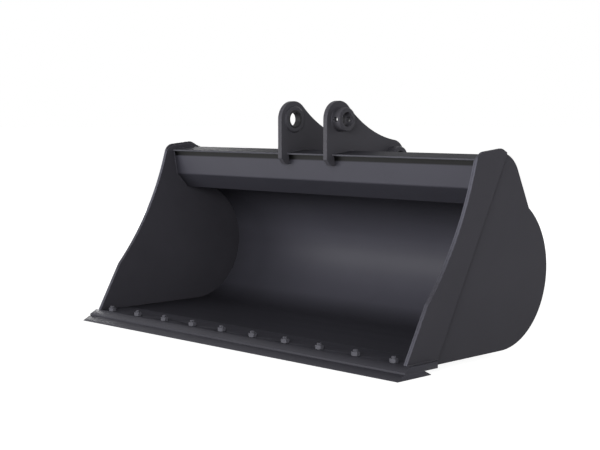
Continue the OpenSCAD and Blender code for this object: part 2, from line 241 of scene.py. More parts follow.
@dataclass(frozen=True)
class Outline:
    """Closed outline with a normal at each point, its sharp corners eased by a small radius.

    Attributes:
        points: Points of the outline, one a row.
        normals: Unit vectors out of the material at the points.
        worn: How light the paint is made at each point, from 0 to 1: thinned paint and painted highlight in
            one.
    """

    points: Points
    normals: Points
    worn: Points

    @staticmethod
    def of(points: Points, ease: float, hole: bool = False, steps: int = 4) -> "Outline":
        """Makes an outline from plain points.

        Where the outline turns by more than 12 degrees, the corner becomes an arc: its middle lies the
        radius times the sum of both sides' normals over one plus their product inside the corner, and its
        normals turn evenly from one side's to the other's.

        Args:
            points: Corner points in order, one a row.
            ease: Radius that sharp corners are eased to.
            hole: Whether the material lies outside the outline.
            steps: Points on each eased corner.

        Returns:
            The outline, anticlockwise, or clockwise for a hole.
        """
        p = np.asarray(points, float)
        p = p[np.linalg.norm(p - np.roll(p, 1, 0), axis=1) > SAME_POINT]
        ahead = np.roll(p, -1, 0)
        if (np.sum(p[:, 0] * ahead[:, 1] - ahead[:, 0] * p[:, 1]) < 0) != hole:
            p = p[::-1]
        back, fore = p - np.roll(p, 1, 0), np.roll(p, -1, 0) - p
        first, last = -left_of(back), -left_of(fore)
        cosine = np.clip(np.sum(first * last, -1), -0.999, 1)
        sense = np.sign(back[:, 0] * fore[:, 1] - back[:, 1] * fore[:, 0])
        sharp = cosine < math.cos(math.radians(SHARP_TURN))
        room = ROOM_SHARE * np.minimum(np.linalg.norm(back, axis=1), np.linalg.norm(fore, axis=1))
        half_tangent = np.sqrt((1 - cosine) / (1 + cosine))
        radius = np.where(sharp, np.minimum(ease, room / np.maximum(half_tangent, 1e-6)), 0)
        reach = (sense * radius / (1 + cosine))[:, None] * (first + last)
        share = np.linspace(0, 1, steps)[None, :, None]
        normals = unit(first[:, None] * (1 - share) + last[:, None] * share)
        eased = (p - reach)[:, None] + (sense * radius)[:, None, None] * normals
        middle = unit(first + last)[:, None].repeat(steps, 1)
        normals = np.where(sharp[:, None, None], normals, middle)
        # Convex eased corners are lightened: thinned paint and painted highlight in one.
        worn = np.where(sharp[:, None] & (sense > 0)[:, None], np.sin(np.pi * share[..., 0]) ** 0.5, 0)
        keep = sharp[:, None] | (np.arange(steps) == 0)[None]
        return Outline(eased[keep], normals[keep], worn[keep])


# Meshes ---------------------------------------------------------------------------------------------------


@dataclass
class Surface:
    """Corner points, faces, normals and edge lightening of a mesh, in metres in the frame's axes; the edge
    lightening is thinned paint and painted highlight in one.
    """

    points: Points
    faces: list[Points]
    normals: Points | None = None
    worn: Points | None = None

    def __add__(self, other: "Surface") -> "Surface":
        """Both surfaces in one mesh.

        Args:
            other: The surface that is added.

        Returns:
            The joined surface, with normals where both have them.
        """
        first = len(self.points)
        both = self.normals is not None and other.normals is not None
        worn = [s.worn if s.worn is not None else np.zeros(len(s.points)) for s in (self, other)]
        return Surface(
            np.vstack([self.points, other.points]),
            self.faces + [f + first for f in other.faces],
            np.vstack([self.normals, other.normals]) if both else None,
            np.concatenate(worn),
        )

    def moved(self, shift: Points) -> "Surface":
        """The surface at another place."""
        return Surface(self.points + np.asarray(shift), self.faces, self.normals, self.worn)


def grid_faces(rows: int, columns: int, wrap_rows: bool, wrap_columns: bool) -> Points:
    """Faces of a grid of points, four corners each, from whole index arrays.

    Args:
        rows: Rows of points.
        columns: Points in a row.
        wrap_rows: Whether the last row joins the first.
        wrap_columns: Whether a row's last point joins its first.

    Returns:
        Array of corner numbers, one face a row.
    """
    i = np.arange(rows if wrap_rows else rows - 1)[:, None]
    j = np.arange(columns if wrap_columns else columns - 1)[None]
    i2, j2 = (i + 1) % rows, (j + 1) % columns
    corners = [i * columns + j, i * columns + j2, i2 * columns + j2, i2 * columns + j]
    return np.stack([np.broadcast_to(c, (len(i), j.shape[1])) for c in corners], -1).reshape(-1, 4)


def plate(outlines: Sequence[Outline], x0: float, x1: float, rim: float, back: float,
          wear: float = 0.0) -> Surface:
    """Flat plate that lies square to X, with its outer edges rounded over.

    A ring of points goes round the outline at each of several stations: at an angle t from 0 to 90 degrees
    it is drawn in by the rim's radius times one minus the cosine of t, and lies that radius times one minus
    the sine of t inside the plate's face. The two faces are filled between the last rings.

    Args:
        outlines: The outer outline, then one for each hole.
        x0: X of one face, in millimetres.
        x1: X of the other face, in millimetres.
        rim: Radius of the rounded edge.
        back: Distance from the cutting tip to the frame's zero along Y.
        wear: Lightening of the flat part of the edges, from 0 to 1: painted highlight, with thinned paint.

    Returns:
        The plate's surface.
    """
    x0, x1 = min(x0, x1), max(x0, x1)
    angle = np.radians(np.linspace(0, 90, RIM_STEPS + 1))
    angle = np.concatenate([angle[::-1], angle])
    outer = np.repeat([-1.0, 1.0], RIM_STEPS + 1)
    reach = rim * (1 - np.sin(angle))
    x = np.where(outer < 0, x0 + reach, x1 - reach)
    parts, loops, first = [], [], 0
    for line in outlines:
        ring = line.points[None] - rim * (1 - np.cos(angle))[:, None, None] * line.normals[None]
        shape = ring.shape[:2]
        points = np.dstack([np.broadcast_to(x[:, None], shape), ring[..., 0] - back, ring[..., 1]])
        lean = np.broadcast_to((outer * np.sin(angle))[:, None], shape)
        side = np.cos(angle)[:, None, None] * line.normals[None]
        normals = np.dstack([lean, side[..., 0], side[..., 1]])
        # Edge lightening, thinned paint and painted highlight in one: strongest halfway round the rounded
        # rim, and on the flat edge faces by the given share.
        flat_wear_and_highlight = np.cos(angle)[:, None] * np.maximum(line.worn, wear)[None]
        worn = np.maximum(np.sin(2 * angle)[:, None], flat_wear_and_highlight)
        parts.append(Surface(points.reshape(-1, 3) * MM, [grid_faces(*shape, False, True)],
                             normals.reshape(-1, 3), worn.ravel()))
        loops.append((first, first + (len(angle) - 1) * shape[1], ring[-1]))
        first += shape[0] * shape[1]
    body = sum(parts[1:], parts[0])
    flat = [[Vector((p[0], p[1], 0)) for p in ring] for _, _, ring in loops]
    fill = np.array(tessellate_polygon(flat))
    ring = np.concatenate([r for _, _, r in loops])
    a, b, c = ring[fill[:, 0]], ring[fill[:, 1]], ring[fill[:, 2]]
    turn = (b[:, 0] - a[:, 0]) * (c[:, 1] - a[:, 1]) - (b[:, 1] - a[:, 1]) * (c[:, 0] - a[:, 0])
    fill = np.where((turn < 0)[:, None], fill[:, ::-1], fill)[np.abs(turn) > 1e-9]
    near = np.concatenate([start + np.arange(len(r)) for start, _, r in loops])
    far = np.concatenate([end + np.arange(len(r)) for _, end, r in loops])
    body.faces += [far[fill], near[fill][:, ::-1]]
    return body


def turned(profile: Outline, centre: Points, steps: int = 96) -> Surface:
    """Ring or sleeve made by turning a closed profile round a line along X.

    A profile point [a, r] at the angle t lies a along X, and r times the cosine and sine of t away from the
    line in Y and Z.

    Args:
        profile: Closed outline of [along, radius] points in millimetres.
        centre: Point on the line, in millimetres in the frame's axes.
        steps: Points round the line.

    Returns:
        The piece's surface.
    """
    angle = np.linspace(0, 2 * np.pi, steps, endpoint=False)
    along, radius = profile.points[:, 0, None], profile.points[:, 1, None]
    points = np.stack([along + 0 * angle, radius * np.cos(angle), radius * np.sin(angle)], -1)
    lean, out = profile.normals[:, 0, None], profile.normals[:, 1, None]
    normals = np.stack([lean + 0 * angle, out * np.cos(angle), out * np.sin(angle)], -1)
    points = (points + np.asarray(centre)).reshape(-1, 3) * MM
    faces = grid_faces(len(profile.points), steps, True, True)[:, ::-1]
    return Surface(points, [faces], normals.reshape(-1, 3), np.repeat(profile.worn, steps))


def bead(path: Points, first: Points, second: Points, leg: float, pitch: float = 4.0) -> Surface:
    """Fillet weld bead in the corner between two surfaces.

    At the distance s along the corner and the angle t across it from 0 to 90 degrees, the bead's face lies
    out of the corner along the first direction by the leg times the cosine of t to the power 1.35, and
    along the second by the same with the sine. Both are swelled by ripples, whose wave in s is drawn back
    in the middle so that each ripple is a crescent, and by a slow sway of the welder's hand. The bead tapers
    over its leg at both ends, and its back stands a little inside the corner.

    Args:
        path: Points along the corner, one a row, in millimetres in the frame's axes.
        first: Direction out of the corner along the first surface, one or one a point.
        second: Direction out of the corner along the second surface.
        leg: Size of the bead along each surface.
        pitch: Distance from ripple to ripple.

    Returns:
        The bead's surface.
    """
    run = np.concatenate([[0], np.cumsum(np.linalg.norm(np.diff(path, axis=0), axis=1))])
    s = np.linspace(0, run[-1], max(4, int(run[-1] / pitch * RIPPLE_POINTS)))
    spread = [np.broadcast_to(np.asarray(v, float), path.shape) for v in (path, first, second)]
    centre, a, b = (np.stack([np.interp(s, run, v[:, k]) for k in range(3)], -1) for v in spread)
    t = np.radians(np.linspace(0, 90, BEAD_POINTS))
    lag = s[:, None] / pitch + RIPPLE_LAG * np.sin(2 * t)[None]
    swell = BEAD_LEAN + RIPPLE * np.abs(np.sin(np.pi * lag)) + HAND_SWAY * np.sin(s / SWAY_LENGTH)[:, None]
    end = np.clip(np.minimum(s, s[-1] - s) / leg, 0.05, 1)[:, None] ** 0.5
    size = leg * swell * end
    u, v = size * np.cos(t) ** BEAD_POWER, size * np.sin(t) ** BEAD_POWER
    sunk = np.full((len(s), 1), -BEAD_SUNK)
    u, v = np.hstack([u, sunk]), np.hstack([v, sunk])
    points = centre[:, None] + u[..., None] * a[:, None] + v[..., None] * b[:, None]
    return closed_tube(points * MM)


def closed_tube(points: Points) -> Surface:
    """Tube through rings of points, closed at both ends, with its faces outwards.

    Args:
        points: Rings of points in metres, as an array of ring, point and axis.

    Returns:
        The tube's surface.
    """
    rows, columns = points.shape[:2]
    ring = np.arange(columns)
    faces = [grid_faces(rows, columns, False, True), ring[::-1][None], ring[None] + (rows - 1) * columns]
    middle = points[0].mean(0)
    a, b = points[0] - middle, np.roll(points[0], -1, 0) - middle
    if np.cross(a, b).sum(0) @ (points[1].mean(0) - middle) < 0:
        faces = [f[:, ::-1] for f in faces]
    return Surface(points.reshape(-1, 3), faces)


class Workshop:
    """Makes finished pieces out of surfaces and logs each one."""

    @staticmethod
    def mesh(name: str, surface: Surface) -> bpy.types.Mesh:
        """Puts a surface's arrays into a new mesh.

        Args:
            name: Name of the mesh.
            surface: The surface, in metres.

        Returns:
            The mesh, with smooth faces and the surface's own normals where it has them.
        """
        mesh = bpy.data.meshes.new(name)
        mesh.vertices.add(len(surface.points))
        mesh.vertices.foreach_set("co", surface.points.astype(np.float32).ravel())
        sizes = np.concatenate([np.full(len(f), f.shape[1]) for f in surface.faces])
        corners = np.concatenate([f.ravel() for f in surface.faces])
        mesh.loops.add(len(corners))
        mesh.loops.foreach_set("vertex_index", corners.astype(np.int32))
        mesh.polygons.add(len(sizes))
        mesh.polygons.foreach_set("loop_start", np.concatenate([[0], np.cumsum(sizes)[:-1]]).astype(np.int32))
        mesh.polygons.foreach_set("use_smooth", np.ones(len(sizes), bool))
        mesh.update(calc_edges=True)
        mesh.validate()
        worn = surface.worn if surface.worn is not None else np.zeros(len(surface.points))
        mesh.attributes.new("worn", "FLOAT", "POINT").data.foreach_set("value", worn.astype(np.float32))
        if surface.normals is not None:
            mesh.normals_split_custom_set_from_vertices(unit(surface.normals).tolist())
        return mesh

    @staticmethod
    def finish(piece: bpy.types.Object, body: Body, slot: Slot, nodes: Sequence[str]) -> None:
        """Rides a piece on its body and lets it stand for CAD nodes, whose parts it hides.

        Args:
            piece: The piece.
            body: Body that it rides on.
            slot: Material slot of the record; not used.
            nodes: CAD nodes that it stands for.
        """
        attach(piece, body.value)
        if nodes:
            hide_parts(*nodes)
            low = np.min([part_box(n)[0] for n in nodes], 0)
            high = np.max([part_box(n)[1] for n in nodes], 0)
            box = np.array([piece.matrix_world @ Vector(c) for c in piece.bound_box])
            apart = max(np.abs(box.min(0) - low).max(), np.abs(box.max(0) - high).max()) / MM
            log.info("  stands for %s, boxes differ by %.2f mm", ", ".join(nodes), apart)
        log.info("%s on %s: %d faces", piece.name, body.value, len(piece.data.polygons))

    @classmethod
    def piece(cls, name: str, surface: Surface, material: bpy.types.Material, body: Body, slot: Slot,
              nodes: Sequence[str] = (), sharp: float | None = None) -> bpy.types.Object:
        """Makes a finished piece from a surface.

        Args:
            name: Name of the piece.
            surface: Its surface, in metres.
            material: Its material.
            body: Body that it rides on.
            slot: Material slot of the record.
            nodes: CAD nodes that it stands for.
            sharp: Angle in degrees over which edges stay sharp, where the surface has no normals.

        Returns:
            The new object.
        """
        mesh = cls.mesh(name, surface)
        if sharp is not None:
            mesh.set_sharp_from_angle(angle=math.radians(sharp))
        mesh.materials.append(material)
        piece = bpy.data.objects.new(name, mesh)
        bpy.context.scene.collection.objects.link(piece)
        cls.finish(piece, body, slot, nodes)
        return piece

    @classmethod
    def eased_copy(cls, name: str, node: str, width: float, material: bpy.types.Material, body: Body,
                   slot: Slot) -> bpy.types.Object:
        """Merged copy of a CAD node whose sharp edges are rounded by a bevel.

        Args:
            name: Name of the piece.
            node: CAD node that is copied and stood for.
            width: Width of the rounded edge, in millimetres.
            material: Its material.
            body: Body that it rides on.
            slot: Material slot of the record.

        Returns:
            The new object.
        """
        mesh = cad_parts[node].data.copy()
        mesh.name = name
        work = bmesh.new()
        work.from_mesh(mesh)
        bmesh.ops.remove_doubles(work, verts=work.verts, dist=MERGE)
        bmesh.ops.dissolve_limit(work, angle_limit=math.radians(FLAT_TURN), verts=work.verts,
                                 edges=work.edges)
        work.to_mesh(mesh)
        work.free()
        mesh.shade_smooth()
        mesh.materials.clear()
        mesh.materials.append(material)
        piece = bpy.data.objects.new(name, mesh)
        bpy.context.scene.collection.objects.link(piece)
        ease = piece.modifiers.new("eased edges", "BEVEL")
        ease.width, ease.segments = width * MM, 2
        ease.limit_method, ease.angle_limit = "ANGLE", math.radians(BEVEL_TURN)
        ease.harden_normals = True
        cls.finish(piece, body, slot, [node])
        return piece


# Materials ------------------------------------------------------------------------------------------------


class Value:
    """A number or colour that a shader socket carries, used in plain Python sums."""

    def __init__(self, tree: "Shader", socket: bpy.types.NodeSocket | None) -> None:
        """Wraps one output socket of a node tree, or nothing for a tree's end."""
        self.tree, self.socket = tree, socket

    def _sum(self, operation: str, *terms: Any) -> "Value":
        """Math node with an operation over the given terms."""
        return self.tree.node("ShaderNodeMath", {"operation": operation},
                              **{str(i): term for i, term in enumerate(terms)})

    def __add__(self, other: Any) -> "Value":
        """This plus the other."""
        return self._sum("ADD", self, other)

    def __radd__(self, other: Any) -> "Value":
        """The other plus this."""
        return self._sum("ADD", other, self)

    def __sub__(self, other: Any) -> "Value":
        """This minus the other."""
        return self._sum("SUBTRACT", self, other)

    def __rsub__(self, other: Any) -> "Value":
        """The other minus this."""
        return self._sum("SUBTRACT", other, self)

    def __mul__(self, other: Any) -> "Value":
        """This times the other."""
        return self._sum("MULTIPLY", self, other)

    def __rmul__(self, other: Any) -> "Value":
        """The other times this."""
        return self._sum("MULTIPLY", other, self)

    def other(self, name: str) -> "Value":
        """Another output of the same node."""
        return Value(self.tree, self.socket.node.outputs[name])

    def kept(self) -> "Value":
        """This kept between zero and one."""
        return self.tree.node("ShaderNodeClamp", {}, Value=self)


class Shader:
    """Node tree of a material or a world, with the few steps that every finish here uses."""

    def __init__(self, owner: bpy.types.Material | bpy.types.World) -> None:
        """Empties a node tree.

        Args:
            owner: Material or world that the tree belongs to.
        """
        owner.use_nodes = True
        self.owner, self.nodes, self.links = owner, owner.node_tree.nodes, owner.node_tree.links
        self.nodes.clear()

    @cached_property
    def place(self) -> Value:
        """Object coordinates."""
        return self.node("ShaderNodeTexCoord", {}, out="Object")

    def node(self, kind: str, settings: dict[str, Any], out: str | int = 0, **inputs: Any) -> Value:
        """Adds a node.

        Args:
            kind: Blender's type of the node.
            settings: Properties that are set before the sockets.
            out: Name or number of the output that is wanted.
            inputs: Values or links by socket name, where an underscore stands for a space, or by number.

        Returns:
            The wanted output, or an empty value where the node has none.
        """
        made = self.nodes.new(kind)
        for key, value in settings.items():
            setattr(made, key, value)
        for key, value in inputs.items():
            socket = made.inputs[int(key) if key.isdigit() else key.replace("_", " ")]
            if isinstance(value, Value):
                self.links.new(value.socket, socket)
            else:
                socket.default_value = value
        return Value(self, made.outputs[out] if made.outputs else None)

    def noise(self, scale: float, detail: float = 2.0, stretch: Colour = (1, 1, 1),
              shift: float = 0.0) -> Value:
        """Smooth noise in object space, from 0 to 1, drawn out along an axis where its stretch is small."""
        spot = self.node("ShaderNodeMapping", {}, Vector=self.place, Scale=stretch, Location=(shift,) * 3)
        return self.node("ShaderNodeTexNoise", {}, Vector=spot, Scale=scale, Detail=detail)

    def facing(self, axis: str) -> Value:
        """How far the surface looks along an axis: that part of its normal."""
        normal = self.node("ShaderNodeNewGeometry", {}, out="Normal")
        return self.node("ShaderNodeSeparateXYZ", {}, out=axis, Vector=normal)

    def ramp(self, value: Value, low: float, high: float) -> Value:
        """Rises from 0 to 1 while a value goes from low to high."""
        return self.node("ShaderNodeMapRange", {"clamp": True}, Value=value, From_Min=low, From_Max=high)

    def mix(self, share: Any, a: Any, b: Any) -> Value:
        """Colour that goes from one to another.

        Args:
            share: Share of the second colour, from 0 to 1.
            a: First colour.
            b: Second colour.

        Returns:
            The mixed colour.
        """
        first, second = (c if isinstance(c, Value) else (*c, 1.0) for c in (a, b))
        return self.node("ShaderNodeMix", {"data_type": "RGBA"}, out=2,
                         **{"0": share, "6": first, "7": second})

    def seen(self) -> Value:
        """One for the camera's own rays and for reflections, zero for the light that falls on things."""
        path = self.node("ShaderNodeLightPath", {})
        return (path + path.other("Is Glossy Ray") + path.other("Is Transmission Ray")).kept()

    def surface(self, colour: Value, roughness: Value, bump: Value, depth: float, **constants: float) -> None:
        """Ends the tree in a Principled shader.

        Args:
            colour: Base colour.
            roughness: Roughness.
            bump: Height over the surface.
            depth: Depth of the height, in metres.
            constants: Numbers that are set on the shader's own sockets.
        """
        normal = self.node("ShaderNodeBump", {}, out="Normal", Height=bump, Distance=depth, Strength=1.0)
        self.end(self.node("ShaderNodeBsdfPrincipled", {}, Base_Color=colour, Roughness=roughness,
                           Normal=normal, **constants))

    def end(self, shader: Value) -> None:
        """Links a shader to the output of the material or world."""
        kind = "World" if isinstance(self.owner, bpy.types.World) else "Material"
        self.node(f"ShaderNodeOutput{kind}", {}, Surface=shader)


@dataclass(frozen=True)
class SatinPaint:
    """Satin charcoal paint sprayed over plate, with a fine orange peel, lighter edges that are thinned paint
    and painted highlight in one, and painted shade.

    Attributes:
        name: Name of the material.
        colour: Middle tone of the paint.
        rubbed: Lighter tone for thinned paint on edges, which also serves as the painted highlight on edges
            and on faces that look to the front.
        roughness: Middle roughness.
        specular: Strength of the gloss.
        streaks: Stretch of the soft drift, small along the axis that it runs on.
        grime: Painted shade in the corners, where ambient occlusion finds the surface hidden.
        reach: Distance that the painted corner shade reaches out of a corner, in metres.
        settled: Painted shade on faces that look up.
        under: Painted shade on faces that look down.
        front_rub: Painted highlight on the faces that look to the front.
        eave: Height of an overhang, in metres, under which a band of painted shadow lies, if there is one.
    """

    name: str
    colour: Colour
    rubbed: Colour = (0.13, 0.13, 0.15)
    roughness: float = 0.46
    specular: float = 0.15
    streaks: Colour = (1, 1, 1)
    grime: float = 0.5
    reach: float = 0.12
    settled: float = 0.0
    under: float = 0.0
    front_rub: float = 0.0
    eave: float | None = None
    eave_dirt: float = 0.95
    eave_band: tuple[float, float] = (0.02, 0.015)
    looks_up: tuple[float, float] = (0.78, 0.99)
    looks_down: tuple[float, float] = (0.2, 0.9)
    looks_front: tuple[float, float] = (0.78, 0.9)
    contrast: float = 0.25
    peel_depth: float = 0.00004

    def dirt(self, shader: Shader) -> Value:
        """Share of painted shade: the grime times what the corners hide, and the terms for faces that look
        up, faces that look down and the band under the eave.

        Args:
            shader: Tree that it is built in.

        Returns:
            The share, kept between zero and one.
        """
        # Painted shade: the paint darkens where ambient occlusion finds the surface hidden.
        corners = shader.node("ShaderNodeAmbientOcclusion", {"samples": 8}, out="AO", Distance=self.reach)
        dirt = self.grime * (1 - corners)
        facing = shader.facing("Z")
        # Painted shade on faces that look up.
        if self.settled:
            dirt = dirt + self.settled * shader.ramp(facing, *self.looks_up)
        # Painted shade on faces that look down.
        if self.under:
            dirt = dirt + self.under * shader.ramp(0 - facing, *self.looks_down)
        # Painted shadow: a dark band just below the overhang's height.
        if self.eave is not None:
            height = shader.node("ShaderNodeSeparateXYZ", {}, out="Z", Vector=shader.place)
            low, high = (self.eave - below for below in self.eave_band)
            dirt = dirt + self.eave_dirt * shader.ramp(height, low, high)
        return dirt.kept()

    def rub(self, shader: Shader) -> Value:
        """Share that is lightened: the mesh's worn value where a noise lets it, which is thinned paint and
        painted highlight in one, and a painted highlight on the faces to the front.

        Args:
            shader: Tree that it is built in.

        Returns:
            The share, kept between zero and one.
        """
        # Thinned paint and painted highlight on the edges, from the mesh's worn value.
        rim = shader.node("ShaderNodeAttribute", {"attribute_name": "worn"}, out="Fac")
        rub = (rim * shader.ramp(shader.noise(90.0, 3.0), 0.35, 0.7) * 0.8).kept()
        # Painted highlight on faces that look to the front.
        if self.front_rub:
            rub = (rub + self.front_rub * shader.ramp(0 - shader.facing("Y"), *self.looks_front)).kept()
        return rub

    def material(self) -> bpy.types.Material:
        """Builds the paint: cloudy tone, soft drift along the streaks, painted shade, peel bump, and lighter
        edges that are thinned paint and painted highlight in one.

        Returns:
            The material.
        """
        shader = Shader(bpy.data.materials.new(self.name))
        cloud = shader.noise(5.0, 3.0)
        drift = shader.noise(16.0, 4.0, self.streaks, 3.1)
        speck = shader.noise(420.0, 2.0)
        tone = (0.86 + 0.18 * cloud + 0.1 * drift) + 0.05 * (speck - 0.5)
        darker, lighter = (tuple((1 + sign * self.contrast) * c for c in self.colour) for sign in (-1, 1))
        coat = shader.mix(((tone - 0.75) * 2.0).kept(), darker, lighter)
        # Painted shade: the coat goes towards black by the share of painted shade.
        coat = shader.mix(self.dirt(shader), coat, (0.0, 0.0, 0.0))
        # Thinned paint and painted highlight: the lighter tone over the edges and the front faces.
        rub = self.rub(shader)
        colour = shader.mix(rub, coat, self.rubbed)
        rough = (self.roughness - 0.08) + 0.12 * drift + 0.06 * speck - 0.08 * rub
        peel = shader.noise(650.0, 2.0) + 0.6 * shader.noise(190.0, 1.0)
        shader.surface(colour, rough, peel, self.peel_depth, Specular_IOR_Level=self.specular)
        return shader.owner


@dataclass(frozen=True)
class DullSteel:
    """Dull hardened steel, turned smooth: fine rings of the tool and a dark oily haze."""

    name: str
    colour: Colour = (0.032, 0.032, 0.036)
    roughness: float = 0.5
    metal: float = 0.3
    specular: float = 0.15
    ring_depth: float = 0.00002

    def material(self) -> bpy.types.Material:
        """Builds the steel: cloudy haze, and fine lines along X from the tool.

        Returns:
            The material.
        """
        shader = Shader(bpy.data.materials.new(self.name))
        haze = shader.noise(60.0, 3.0)
        lines = shader.noise(900.0, 2.0, (1, 0.05, 0.05))
        colour = shader.mix(haze, tuple(0.6 * c for c in self.colour), self.colour)
        rough = self.roughness + 0.12 * haze + 0.05 * lines
        shader.surface(colour, rough, lines, self.ring_depth, Metallic=self.metal,
                       Specular_IOR_Level=self.specular)
        return shader.owner


@dataclass(frozen=True)
class DustedBolt:
    """Black bolts and nuts under a thin charcoal coat of blotchy tone."""

    name: str
    colour: Colour = (0.11, 0.109, 0.128)
    roughness: float = 0.42
    metal: float = 0.1
    specular: float = 0.2
    grain_depth: float = 0.00005

    def material(self) -> bpy.types.Material:
        """Builds the coat: blotchy tone and a grainy surface.

        Returns:
            The material.
        """
        shader = Shader(bpy.data.materials.new(self.name))
        blotch = shader.noise(140.0, 4.0)
        grain = shader.noise(1200.0, 2.0)
        colour = shader.mix(blotch, tuple(0.75 * c for c in self.colour), tuple(1.3 * c for c in self.colour))
        rough = self.roughness + 0.2 * blotch + 0.05 * grain
        shader.surface(colour, rough, grain + blotch, self.grain_depth, Metallic=self.metal,
                       Specular_IOR_Level=self.specular)
        return shader.owner


@dataclass(frozen=True)
class Finishes:
    """Every finish of the bucket, built once."""

    # Shell: painted shade in its corners, on faces that look up, such as its floor, and on faces that look
    # down, under the tube.
    shell: bpy.types.Material = field(default_factory=lambda: SatinPaint(
        "shell satin", (0.067, 0.066, 0.083), streaks=(0.08, 1, 1), settled=0.6, under=0.55).material())
    # Tube front: strong, close painted shade in its corners, painted shade on its lower leg that looks down,
    # and a painted shadow band under the top plate's overhang.
    tube: bpy.types.Material = field(default_factory=lambda: SatinPaint(
        "tube satin", (0.068, 0.067, 0.085), streaks=(0.08, 1, 1), specular=0.2, grime=1.0, reach=0.03,
        under=0.5, eave=Plan().face_under_top[1] * MM).material())
    # Tube top: painted shade in its corners and on its top, and a painted highlight on its front edge.
    tube_top: bpy.types.Material = field(default_factory=lambda: SatinPaint(
        "tube top satin", (0.066, 0.065, 0.078), (0.13, 0.13, 0.15), specular=0.007, settled=0.3,
        front_rub=0.9).material())
    # Side plates, cutters and beads: far-reaching painted shade in the corners and a painted highlight on
    # faces that look to the front.
    side: bpy.types.Material = field(default_factory=lambda: SatinPaint(
        "side satin", (0.069, 0.067, 0.08), (0.15, 0.15, 0.185), specular=0.09, reach=0.3, grime=0.45,
        front_rub=0.75).material())
    # Lip and edge: painted shade in corners and on faces that look up.
    edge: bpy.types.Material = field(default_factory=lambda: SatinPaint(
        "edge satin", (0.066, 0.065, 0.08), streaks=(0.05, 1, 1), settled=0.3).material())
    # Hangers, washers and collars: a lighter copy of the body paint, as painted light on them, and light
    # painted shade in their corners.
    hanger: bpy.types.Material = field(default_factory=lambda: SatinPaint(
        "hanger satin", (0.081, 0.079, 0.092), grime=0.3, specular=0.1).material())
    bush: bpy.types.Material = field(default_factory=lambda: DullSteel("turned steel").material())
    fastener: bpy.types.Material = field(default_factory=lambda: DustedBolt("dusted bolts").material())


# Sub-assemblies -------------------------------------------------------------------------------------------


